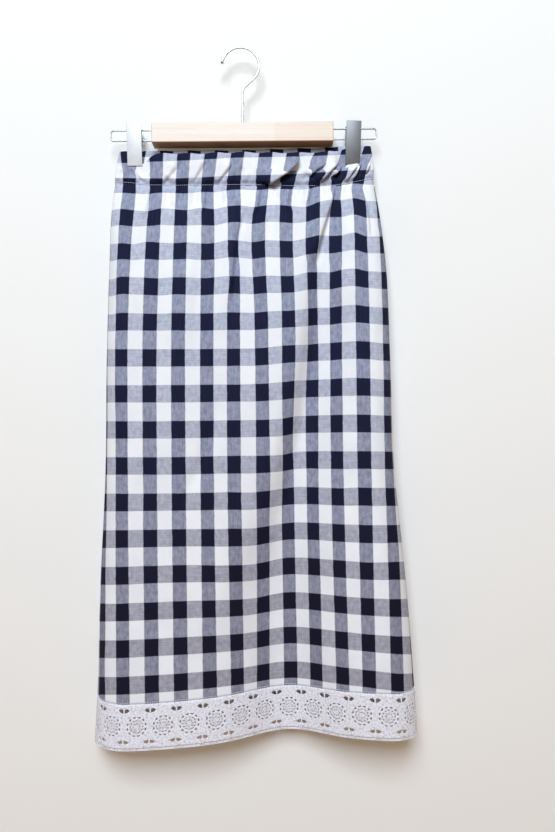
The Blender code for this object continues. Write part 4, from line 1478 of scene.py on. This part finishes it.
@dataclass(frozen=True)
class LaceTile:
    """One repeat of the lace, flat: a joint with hearts at each end and a medallion between."""

    repeat: float = 0.0350
    height: float = 0.0608
    header: float = 0.0006
    step: float = 0.0035
    medallion: float = 0.0292
    slot_ring: float = 0.0124
    dash_ring: float = 0.0082
    dot_ring: float = 0.0042
    ladder_holes: int = 14
    ladder_rise: float = 0.0029
    ladder_half: Pair = (0.0008, 0.0007)
    upper_heart: Pair = (0.0058, 0.0054)
    lower_heart: Pair = (0.0094, 0.0046)

    def heart(self, along: float, tall: float, way: float) -> Outlines:
        """The two halves of a heart at the joint.

        Args:
            along: The place of its wide end below the seam.
            tall: Its height.
            way: 1 where it points down and -1 where it points up.

        Returns:
            Two outlines.
        """
        return [
            [(side * x % self.repeat, along + way * (drop + tall * share)) for x, drop, share in HEART]
            for side in (-1.0, 1.0)
        ]

    def ring(self, radius: float, count: int, start: float, size: Pair, corners: int) -> Outlines:
        """The outlines of a ring of oval holes, which lie along the ring.

        Args:
            radius: From the medallion's middle to theirs.
            count: How many there are.
            start: Where the first lies, as a share of the way to the next.
            size: Their length and width.
            corners: Corners of each outline.

        Returns:
            An outline for each hole.
        """
        outlines = []
        turns = [TURN * corner / corners for corner in range(corners)]
        ovals = [(math.cos(turn) * size[0] / 2, math.sin(turn) * size[1] / 2) for turn in turns]
        for index in range(count):
            angle = TURN * (index + start) / count
            out_x, out_y = math.cos(angle), math.sin(angle)
            centre_x = self.repeat / 2 + radius * out_x
            centre_y = self.medallion + radius * out_y
            outlines.append([
                (centre_x - out_y * along + out_x * out, centre_y + out_x * along + out_y * out)
                for along, out in ovals
            ])
        return outlines

    def holes(self) -> Outlines:
        """The outlines of every hole of the repeat."""
        outlines = self.heart(*self.upper_heart, 1.0)
        outlines += self.heart(self.height - self.lower_heart[0], self.lower_heart[1], -1.0)
        outlines += self.ring(self.slot_ring, 12, 0.5, (0.0042, 0.0021), 8)
        outlines += self.ring(self.dash_ring, 12, 0.0, (0.0028, 0.0013), 6)
        outlines += self.ring(self.dot_ring, 8, 0.0, (0.0015, 0.0014), 6)
        wide, tall = self.ladder_half
        y = self.height - self.ladder_rise
        for index in range(self.ladder_holes):
            x = (index + 0.5) * self.repeat / self.ladder_holes
            corners = ((-1.0, -1.0), (1.0, -1.0), (1.0, 1.0), (-1.0, 1.0))
            outlines.append([(x + wide * right, y + tall * down) for right, down in corners])
        return outlines

    def mesh(self) -> Mesh:
        """The repeat as a flat filled mesh, cut into strips so that it can bend."""
        curve = bpy.data.curves.new("lace_repeat", "CURVE")
        curve.dimensions = "2D"
        curve.fill_mode = "BOTH"
        long, low, high = self.repeat, -self.header, self.height
        edge = [(0.0, low), (long, low), (long, high), (0.0, high)]
        for outline in [edge] + self.holes():
            add_spline(curve, [(x, y, 0.0) for x, y in outline], closed=True)
        holder = link_object("lace_repeat", curve)
        bpy.context.view_layer.update()
        mesh = bpy.data.meshes.new_from_object(holder.evaluated_get(bpy.context.evaluated_depsgraph_get()))
        bpy.data.objects.remove(holder)
        shape = bmesh.new()
        shape.from_mesh(mesh)
        bmesh.ops.remove_doubles(shape, verts=shape.verts, dist=1e-6)
        for way, start, end in ((Vector((1.0, 0.0, 0.0)), 0.0, long), (Vector((0.0, 1.0, 0.0)), low, high)):
            count = round((end - start) / self.step)
            for index in range(1, count):
                cut_plane(shape, way * (start + (end - start) * index / count), way)
        shape.to_mesh(mesh)
        shape.free()
        return mesh


@dataclass
class LaceHem:
    """The front or the back half of the lace hem."""

    form: SkirtForm
    side: Side
    tile: LaceTile
    anchor_x: float = -0.0475
    stand: float = 0.00045
    wall: float = 0.0006
    levels: int = 30
    stations: int = 480
    steepest: float = 5.0
    edge_cord: float = 0.0009
    edge_step: int = 3
    cloth_share: float = 0.88

    def surface(self) -> tuple[Array, Array, Array, float]:
        """The lace's own surface as a grid.

        Returns:
            The grid of points, its drops below the seam, its lengths along the seam and the anchor's length.
        """
        form = self.form
        seam = form.panel_line(self.side, form.seam_drop)
        total = line_lengths(seam)[-1]
        order = np.argsort(seam[:, 0])
        anchor = float(np.interp(self.anchor_x, seam[order, 0], line_lengths(seam)[order]))
        drops = np.linspace(-self.tile.header, self.tile.height, self.levels)
        places = np.linspace(form.gap / 2, total - form.gap / 2, self.stations)
        out = self.side.outward * self.stand
        grid = []
        for drop in drops:
            level = form.seam_drop + float(drop)
            line = form.panel_line(self.side, level)
            lengths = line_lengths(line)
            x, y = points_at(line, lengths, places * (lengths[-1] / total)).T
            run = np.gradient(x)
            slope = np.gradient(y) / np.where(np.abs(run) < 1e-7, 1e-7, run)
            slope = np.clip(slope, -self.steepest, self.steepest)
            length = np.sqrt(1.0 + slope ** 2)
            z = form.panel_height(x, level)
            grid.append(np.column_stack((x - out * slope / length, y + out / length, z)))
        return np.array(grid), drops, places, anchor

    def build(self, material: Material, cord: Material) -> None:
        """Make this half of the lace, with the cord that its lower edge is worked over."""
        grid, drops, places, anchor = self.surface()
        tile = self.tile.mesh()
        first = math.floor((places[0] - anchor) / self.tile.repeat)
        last = math.ceil((places[-1] - anchor) / self.tile.repeat)
        shape = bmesh.new()
        for index in range(first, last):
            start = len(shape.verts)
            shape.from_mesh(tile)
            shape.verts.ensure_lookup_table()
            for vertex in shape.verts[start:]:
                vertex.co.x += anchor + index * self.tile.repeat
        bpy.data.meshes.remove(tile)
        bmesh.ops.remove_doubles(shape, verts=shape.verts, dist=2e-6)
        for spot, way in ((places[0], -1.0), (places[-1], 1.0)):
            cut_plane(shape, Vector((spot, 0.0, 0.0)), Vector((way, 0.0, 0.0)), clear=True)
        layer = shape.loops.layers.uv.new("cloth")
        for face in shape.faces:
            for loop in face.loops:
                loop[layer].uv = (loop.vert.co.x - anchor, loop.vert.co.y)
        for vertex in shape.verts:
            vertex.co = self.on_surface(grid, drops, places, vertex.co.x, vertex.co.y)
        bmesh.ops.recalc_face_normals(shape, faces=shape.faces)
        name = "lace_edging_" + self.side.value
        mesh = bpy.data.meshes.new(name)
        shape.to_mesh(mesh)
        shape.free()
        face_outwards(mesh, self.side)
        mesh.shade_smooth()
        piece = link_object(name, mesh)
        add_wall(piece, self.wall)
        give(piece, material, "lace", "lace_" + self.side.value)
        edge = [Vector(point) for point in grid[-1][:: self.edge_step]]
        give(add_wire("lace_edge_" + self.side.value, edge, self.edge_cord), cord, "lace")

    @staticmethod
    def on_surface(grid: Array, drops: Array, places: Array, place: float, drop: float) -> Vector:
        """A flat point of the lace on its surface, between the four nearest points of the grid."""
        row = min(max((drop - drops[0]) / (drops[1] - drops[0]), 0.0), len(drops) - 1.001)
        column = min(max((place - places[0]) / (places[1] - places[0]), 0.0), len(places) - 1.001)
        return Vector(between_cells(grid, int(row), int(column), row - int(row), column - int(column)))


def face_outwards(mesh: Mesh, side: Side) -> None:
    """Turn a sheet round where most of it faces into the skirt."""
    facing = sum(polygon.normal.y * polygon.area for polygon in mesh.polygons)
    if facing * side.outward < 0.0:
        mesh.flip_normals()


def add_wall(piece: Object, thickness: float) -> None:
    """Give a sheet its thickness, half on each side."""
    solidify = piece.modifiers.new("wall", "SOLIDIFY")
    solidify.thickness = thickness
    solidify.offset = 0.0
    activate(piece)
    bpy.ops.object.modifier_apply(modifier=solidify.name)


def close_ends(piece: Object) -> None:
    """Close the two open ends of a tube."""
    shape = bmesh.new()
    shape.from_mesh(piece.data)
    edges = [edge for edge in shape.edges if edge.is_boundary]
    bmesh.ops.holes_fill(shape, edges=edges, sides=0)
    shape.to_mesh(piece.data)
    shape.free()


# Sewing

def add_stitches(name: str, starts: Array, ends: Array, thick: float) -> Object:
    """Stitches as short round-ended bars, modelled once and copied.

    Args:
        name: The piece's name.
        starts: One end of each stitch.
        ends: The other end of each.
        thick: The thread's diameter.

    Returns:
        The new object.
    """
    shape = bmesh.new()
    bmesh.ops.create_uvsphere(shape, u_segments=6, v_segments=4, radius=0.5)
    corners = np.array([vertex.co for vertex in shape.verts])
    shape.verts.index_update()
    faces = [[vertex.index for vertex in face.verts] for face in shape.faces]
    shape.free()
    points = []
    polygons = []
    for start, end in zip(starts, ends):
        way = end - start
        length = np.linalg.norm(way)
        turn = np.array(Vector((0.0, 0.0, 1.0)).rotation_difference(Vector(way / length)).to_matrix())
        long = corners * thick
        long[:, 2] += np.sign(corners[:, 2]) * max(length - thick, 0.0) / 2
        base = len(points)
        points.extend((long @ turn.T + (start + end) / 2).tolist())
        polygons.extend([base + index for index in face] for face in faces)
    mesh = bpy.data.meshes.new(name)
    mesh.from_pydata(points, [], polygons)
    mesh.shade_smooth()
    return link_object(name, mesh)


@dataclass
class Sewing:
    """The rows of sewing at the waist and at the lace seam."""

    form: SkirtForm
    side: Side
    stitch: float = 0.0027
    stitch_rise: float = -0.0002
    thread: float = 0.00050
    hem_pitch: float = 0.0031
    hem_stitch: float = 0.0019
    hem_leg: float = 0.0020
    hem_thread: float = 0.00075
    hem_rise: float = 0.0009
    hem_out: float = 0.00105
    thread_share: float = 0.78
    waist_ends: Pair = (0.004, 0.006)
    hem_ends: Pair = (0.003, 0.005)

    def waist(self, casing: WaistCasing, material: Material) -> None:
        """The row that holds the casing down.

        Args:
            casing: The half of the casing that it runs on.
            material: The thread.
        """
        row, lengths = casing.row(self.stitch_rise, casing.wall / 2)
        places = np.arange(self.waist_ends[0], lengths[-1] - self.waist_ends[1], self.stitch)
        starts, ends = (
            points_at(row, lengths, spots) + np.array((0.0, self.side.outward * self.thread * 0.25, 0.0))
            for spots in (places, places + self.stitch * self.thread_share)
        )
        piece = add_stitches("waist_sewing_" + self.side.value, starts, ends, self.thread)
        give(piece, material, "gingham_casing")

    def hem(self, material: Material) -> None:
        """The overcast row that holds the lace to the cloth: a leg over its edge and a stitch beside it."""
        drop = self.form.seam_drop
        line = self.form.panel_line(self.side, drop)
        lengths = line_lengths(line)
        starts = np.arange(self.hem_ends[0], lengths[-1] - self.hem_ends[1], self.hem_pitch)
        points = []
        for places, rise in ((starts, 0.0), (starts, self.hem_leg), (starts + self.hem_stitch, self.hem_leg)):
            x, y = points_at(line, lengths, places).T
            height = self.form.panel_height(x, drop) + self.hem_rise + rise
            points.append(np.column_stack((x, y + self.side.outward * self.hem_out, height)))
        begin, end = np.vstack(points[:2]), np.vstack(points[1:])
        give(add_stitches("hem_sewing_" + self.side.value, begin, end, self.hem_thread), material, "lace")


# Hanger

@dataclass(frozen=True)
class HangerFrame:
    """Where the bar lies: all of the hanger but its hook hangs a little lower on the left."""

    stem_x: float = 0.0032
    centre_z: float = -0.1209
    tilt: float = math.radians(0.45)
    bar_size: tuple[float, float, float] = (0.2525, 0.0240, 0.0275)
    bore_depth: float = 0.020
    gap: float = 0.0003

    @property
    def bar_top(self) -> float:
        """Height of the bar's top over its middle's place."""
        return self.centre_z + self.bar_size[2] / 2

    def matrix(self) -> Matrix:
        """The bar's place and turn."""
        return Matrix.Translation((self.stem_x, 0.0, self.centre_z)) @ Matrix.Rotation(-self.tilt, 4, "Y")


def add_spline(curve: bpy.types.Curve, points: list, closed: bool) -> None:
    """Add a line through XYZ points to a curve, and join its ends where it is closed."""
    spline = curve.splines.new("POLY")
    spline.points.add(len(points) - 1)
    for spline_point, point in zip(spline.points, points):
        spline_point.co = (*point, 1.0)
    spline.use_cyclic_u = closed


def add_wire(name: str, points: list[Vector], diameter: float) -> Object:
    """A smooth round wire along points, as a mesh.

    Args:
        name: The piece's name.
        points: Its centre line.
        diameter: Its thickness.

    Returns:
        The new object.
    """
    curve = bpy.data.curves.new(name, "CURVE")
    curve.dimensions = "3D"
    curve.bevel_depth = diameter / 2
    curve.bevel_resolution = 5
    curve.use_fill_caps = True
    add_spline(curve, points, closed=False)
    activate(link_object(name, curve))
    bpy.ops.object.convert(target="MESH")
    piece = bpy.context.object
    piece.data.shade_smooth()
    return piece


def settle(piece: Object) -> None:
    """Put a piece's place, turn and size into its mesh."""
    activate(piece)
    bpy.ops.object.transform_apply(location=True, rotation=True, scale=True)


def stamp_field(way: Vector, insets: Pair, push: float) -> None:
    """Inset the selected face, push it out its way, inset it again and leave edit mode."""
    bpy.ops.mesh.inset(thickness=insets[0])
    bpy.ops.transform.translate(value=way * push)
    bpy.ops.mesh.inset(thickness=insets[1])
    bpy.ops.object.mode_set(mode="OBJECT")


def add_block(name: str, size: tuple[float, float, float]) -> Object:
    """A box of a size about the origin, as the active object."""
    activate()
    bpy.ops.mesh.primitive_cube_add(size=1.0)
    block = bpy.context.object
    block.name = name
    block.scale = size
    bpy.ops.object.transform_apply(location=False, rotation=False, scale=True)
    return block


@dataclass
class WireHook:
    """The wire hook whose stem stands in the bar, with the bead on its tip."""

    frame: HangerFrame
    radius: float = 0.026
    wire: float = 0.0030
    start_angle: float = math.radians(163.0)
    end_angle: float = math.radians(-18.0)
    arc_points: int = 64
    neck_points: int = 24
    bow_pull: float = 1.15
    stem_pull: float = 0.75
    stem_top: float = -0.0600
    bead_radius: float = 0.0023
    collar_radius: float = 0.0042
    collar_height: float = 0.0010
    collar_rise: float = 0.0006
    collar_play: float = 0.0002

    def points(self) -> list[Vector]:
        """The centre line: the bow, the neck and the straight stem."""
        centre = Vector((0.0, 0.0, self.wire / 2 - self.radius))
        points = []
        for index in range(self.arc_points):
            angle = self.start_angle + (self.end_angle - self.start_angle) * index / (self.arc_points - 1)
            points.append(centre + self.radius * Vector((math.cos(angle), 0.0, math.sin(angle))))
        bow_end = points[-1]
        neck_end = Vector((self.frame.stem_x, 0.0, self.stem_top))
        reach = (neck_end - bow_end).length
        bow_pull = self.bow_pull * reach * Vector((math.sin(self.end_angle), 0.0, -math.cos(self.end_angle)))
        stem_pull = self.stem_pull * reach * Vector((0.0, 0.0, -1.0))
        for index in range(1, self.neck_points + 1):
            t = index / self.neck_points
            start = (1 + 2 * t) * (1 - t) ** 2 * bow_end + t * (1 - t) ** 2 * bow_pull
            end = t ** 2 * (3 - 2 * t) * neck_end + t ** 2 * (t - 1) * stem_pull
            points.append(start + end)
        stem_end = self.frame.bar_top - self.frame.bore_depth + 2 * self.frame.gap
        points.append(Vector((self.frame.stem_x, 0.0, stem_end)))
        return points

    def build_bead(self, tip: Vector, outward: Vector, material: Material) -> None:
        """The bead on the tip of the wire."""
        activate()
        bpy.ops.mesh.primitive_uv_sphere_add(
            segments=24, ring_count=14, radius=self.bead_radius,
            location=tip + outward * (self.bead_radius + self.frame.gap),
        )
        bead = bpy.context.object
        bead.name = "tip_bead"
        bpy.ops.object.mode_set(mode="EDIT")
        bpy.ops.mesh.select_all(action="SELECT")
        bpy.ops.mesh.subdivide(number_cuts=1, smoothness=1.0)
        bpy.ops.object.mode_set(mode="OBJECT")
        settle(bead)
        bead.data.shade_smooth()
        give(bead, material, "hook_steel", "hook_bead")

    def build(self, material: Material) -> None:
        """Make the hook, its bead and the flat collar at the foot of its stem."""
        points = self.points()
        give(add_wire("hook_wire", points, self.wire), material, "hook_steel", "hanger_hook")
        self.build_bead(points[0], (points[0] - points[1]).normalized(), material)
        activate()
        bpy.ops.mesh.primitive_cylinder_add(
            vertices=32, radius=self.collar_radius, depth=self.collar_height,
            location=(self.frame.stem_x, 0.0, self.frame.bar_top + self.collar_rise),
        )
        collar = bpy.context.object
        collar.name = "stem_collar"
        bpy.ops.object.mode_set(mode="EDIT")
        bpy.ops.mesh.select_all(action="DESELECT")
        for face in bmesh.from_edit_mesh(collar.data).faces:
            face.select_set(abs(face.normal.z) > 0.9)
        bmesh.update_edit_mesh(collar.data)
        bpy.ops.mesh.inset(thickness=self.collar_radius - self.wire / 2 - self.collar_play)
        bpy.ops.mesh.bridge_edge_loops()
        bpy.ops.object.mode_set(mode="OBJECT")
        settle(collar)
        give(collar, material, "hook_steel")


@dataclass
class WireLoop:
    """The U-shaped wire out of one end of the bar, which carries a clip."""

    frame: HangerFrame
    way: float
    reach: float
    wire: float = 0.0022
    spacing: float = 0.0146
    corner: float = 0.0045
    corner_points: int = 14

    def build(self, material: Material, node: str) -> None:
        """Make the loop."""
        start = self.frame.bar_size[0] / 2 - self.frame.bore_depth + self.frame.gap
        half = self.spacing / 2
        line = [(start, half)]
        for corner_z, first_angle in ((half, math.pi / 2), (-half, 0.0)):
            centre_z = corner_z - math.copysign(self.corner, corner_z)
            for index in range(self.corner_points):
                angle = first_angle - math.pi / 2 * index / (self.corner_points - 1)
                x = self.reach - self.corner + self.corner * math.cos(angle)
                line.append((x, centre_z + self.corner * math.sin(angle)))
        line.append((start, -half))
        placed = [self.frame.matrix() @ Vector((self.way * x, 0.0, z)) for x, z in line]
        give(add_wire(node + "_wire", placed, self.wire), material, "loop_steel", node)


@dataclass
class SkirtClip:
    """A sprung clip: two leaning plates with folded ears, a pin and a coil spring."""

    frame: HangerFrame
    name: str
    clip_x: float
    roll: float
    width: float = 0.0206
    height: float = 0.0585
    plate: float = 0.0012
    below_bar: float = 0.0143
    lean: float = math.radians(6.0)
    jaw_y: float = 0.0034
    rib_depth: float = 0.0005
    rib_insets: Pair = (0.0022, 0.0006)
    edge_round: float = 0.0005
    ear_share: float = 0.8
    ear_depth: float = 0.0068
    ear_height: float = 0.0125
    ear_y: float = -0.0016
    ear_round: float = 0.0004
    boss_insets: Pair = (0.0018, 0.0005)
    boss_depth: float = 0.0003
    pin_wire: float = 0.0022
    spring_wire: float = 0.0010
    spring_radius: float = 0.0026
    spring_turns: int = 5
    spring_steps: int = 16
    spring_share: float = 0.62

    def jaw_matrix(self, outward: float) -> Matrix:
        """The place and lean of one plate."""
        middle = self.jaw_y + self.height / 2 * math.tan(self.lean) + self.plate / 2 / math.cos(self.lean)
        spot = Matrix.Translation((self.clip_x - self.frame.stem_x, outward * middle, -self.below_bar))
        turn = Matrix.Rotation(self.roll, 4, "Y") @ Matrix.Rotation(-outward * self.lean, 4, "X")
        return self.frame.matrix() @ spot @ turn

    def build_plate(self, side: Side, material: Material) -> None:
        """One plate, with an inset field and rounded edges."""
        name = self.name + "_" + side.value
        plate = add_block("plate_" + name, (self.width, self.plate, self.height))
        bpy.ops.object.mode_set(mode="EDIT")
        bpy.ops.mesh.select_all(action="DESELECT")
        for face in bmesh.from_edit_mesh(plate.data).faces:
            face.select_set(face.normal.y * side.outward > 0.9)
        bmesh.update_edit_mesh(plate.data)
        stamp_field(Vector((0.0, side.outward, 0.0)), self.rib_insets, self.rib_depth)
        bevel = plate.modifiers.new("edges", "BEVEL")
        bevel.width = self.edge_round
        bevel.segments = 3
        bevel.limit_method = "ANGLE"
        bevel.angle_limit = math.radians(35.0)
        bpy.ops.object.modifier_apply(modifier=bevel.name)
        plate.data.transform(self.jaw_matrix(side.outward))
        plate.data.shade_smooth()
        give(plate, material, "clip_steel", "clip_" + name)

    def build_ears(self, material: Material) -> None:
        """The two folded ears of the front plate, each with a boss in which the pin sits."""
        for way, hand in ((-1.0, "_left"), (1.0, "_right")):
            size = (self.plate * self.ear_share, self.ear_depth, self.ear_height)
            ear = add_block("ear_" + self.name + hand, size)
            bpy.ops.object.mode_set(mode="EDIT")
            bpy.ops.mesh.select_all(action="SELECT")
            bpy.ops.mesh.bevel(offset=self.ear_round, segments=2)
            bpy.ops.mesh.select_all(action="DESELECT")
            faces = bmesh.from_edit_mesh(ear.data).faces
            max(faces, key=lambda face: face.calc_center_median().x * way).select_set(True)
            bmesh.update_edit_mesh(ear.data)
            stamp_field(Vector((way, 0.0, 0.0)), self.boss_insets, self.boss_depth)
            x = self.clip_x - self.frame.stem_x + way * (self.width / 2 - self.plate)
            ear.data.transform(self.frame.matrix() @ Matrix.Translation((x, self.ear_y, 0.0)))
            ear.data.shade_smooth()
            give(ear, material, "slide_steel")

    def build_spring(self, material: Material) -> None:
        """The pin across the clip and the coil spring round it, in place of the plain slide."""
        centre = self.frame.matrix() @ Vector((self.clip_x - self.frame.stem_x, 0.0, 0.0))
        half = self.width / 2 - self.plate
        coil = half * self.spring_share
        steps = self.spring_turns * self.spring_steps
        turns = []
        for index in range(steps + 1):
            angle = TURN * index / self.spring_steps
            y, z = self.spring_radius * math.cos(angle), self.spring_radius * math.sin(angle)
            turns.append(centre + Vector((2 * coil * index / steps - coil, y, z)))
        give(add_wire("spring_" + self.name, turns, self.spring_wire), material, "slide_steel",
             "clip_" + self.name + "_slide")
        pin = [centre + Vector((way * half, 0.0, 0.0)) for way in (-1.0, 1.0)]
        give(add_wire("pin_" + self.name, pin, self.pin_wire), material, "slide_steel")

    def build(self, plate: Material, works: Material) -> None:
        """Make the whole clip."""
        for side in Side:
            self.build_plate(side, plate)
        self.build_ears(works)
        self.build_spring(works)


# Studio

@dataclass
class Studio:
    """A plain pale wall and floor under soft light from above and in front."""

    wall_y: float = 0.0245
    floor_z: float = -1.75
    floor_y: float = -4.0
    half_width: float = 2.6
    height: float = 2.6
    wall_colour: tuple = (0.87, 0.88, 0.875)
    # Painted shade: the wall's colour grows darker and warmer towards the floor.
    wall_low_painted_shade: tuple = (0.86, 0.84, 0.82)
    floor_colour: tuple = (0.42, 0.30, 0.20)
    key_spot: tuple = (-0.30, -3.2, 1.85)
    key_aim: tuple = (0.05, 0.0, -0.50)
    key_size: float = 1.8
    key_power: float = 185.0
    key_colour: tuple = (0.77, 0.89, 1.0)
    room_colour: tuple = (1.0, 0.61, 0.25, 1.0)
    room_strength: float = 0.27

    def plane(self, name: str, first: tuple, second: tuple, material: Material) -> None:
        """A flat backdrop between two edges from left to right, each given by its Y and Z."""
        side = self.half_width
        corners = [(-side, *first), (side, *first), (side, *second), (-side, *second)]
        mesh = bpy.data.meshes.new(name)
        mesh.from_pydata(corners, [], [(0, 1, 2, 3)])
        piece = link_object(name, mesh)
        mesh.materials.append(material)

    def light(self) -> None:
        """The square soft key light and the warm light of the room."""
        lamp = bpy.data.lights.new("key", "AREA")
        lamp.shape = "SQUARE"
        lamp.size = self.key_size
        lamp.energy = self.key_power
        lamp.color = self.key_colour
        holder = link_object("key", lamp)
        holder.location = self.key_spot
        way = Vector(self.key_aim) - Vector(self.key_spot)
        holder.rotation_euler = way.to_track_quat("-Z", "Y").to_euler()
        world = bpy.data.worlds.new("room")
        world.use_nodes = True
        background = world.node_tree.nodes["Background"]
        background.inputs["Color"].default_value = self.room_colour
        background.inputs["Strength"].default_value = self.room_strength
        bpy.context.scene.world = world
        bpy.context.scene.view_settings.view_transform = "Standard"

    def build(self) -> None:
        """Make the wall, the floor and the lights."""
        wall = PlasterFinish(self.wall_colour, self.wall_low_painted_shade).build("wall_paint")
        floor = PlasterFinish(self.floor_colour, self.floor_colour).build("floor_paint")
        foot = (self.wall_y, self.floor_z)
        self.plane("wall", foot, (self.wall_y, self.height), wall)
        self.plane("floor", (self.floor_y, self.floor_z), foot, floor)
        self.light()


def main() -> None:
    """Build the skirt, its hanger and the studio."""
    logging.basicConfig(level=logging.INFO, format="%(name)s %(message)s")
    camera = PhotoCamera()
    camera.build()
    form = SkirtForm()
    gingham = GinghamFinish()
    layout = CheckLayout(camera, gingham)
    cloth = gingham.build("gingham_cloth")
    band = gingham.build("gingham_band")
    tile = LaceTile()
    lace = LaceFinish().build("cotton_lace", tile)
    thread = ThreadFinish().build("white_thread")
    seams = None
    for side in Side:
        seams = SkirtPanel(form, layout, side).build(cloth, seams)
        casing = WaistCasing(form, layout, side)
        casing.build(band)
        LaceHem(form, side, tile).build(lace, thread)
        sewing = Sewing(form, side)
        sewing.waist(casing, thread)
        sewing.hem(thread)
    hanger = HangerFrame()
    wood = WoodFinish().build("pale_wood_grain", hanger)
    for slot in frame["nodes"]["hanger_bar"].material_slots:
        slot.material = wood
    hook_steel = SteelFinish((0.60, 0.59, 0.57), 0.22).build("hook_plating")
    loop_steel = SteelFinish((0.42, 0.41, 0.40), 0.28).build("loop_plating")
    WireHook(hanger).build(hook_steel)
    WireLoop(hanger, -1.0, 0.1845).build(loop_steel, "loop_left")
    WireLoop(hanger, 1.0, 0.1871).build(loop_steel, "loop_right")
    works = SteelFinish((0.42, 0.41, 0.40), 0.40).build("spring_plating")
    # The two clips are plated alike: the left plate's near-white tint and low metal share are a painted
    # bright reflection, and the right plate's dark tint is a painted dark reflection.
    left_plate_painted_bright = SteelFinish((0.735, 0.755, 0.795), 0.50, 0.5, 0.20).build("left_clip_painted_reflection")
    right_plate_painted_dark = SteelFinish((0.180, 0.184, 0.197), 0.44, 0.5, 0.50).build("right_clip_painted_dark_reflection")
    SkirtClip(hanger, "left", -0.1473, 0.0).build(left_plate_painted_bright, works)
    SkirtClip(hanger, "right", 0.1571, math.radians(1.95)).build(right_plate_painted_dark, works)
    Studio().build()


if __name__ == "__main__":
    main()
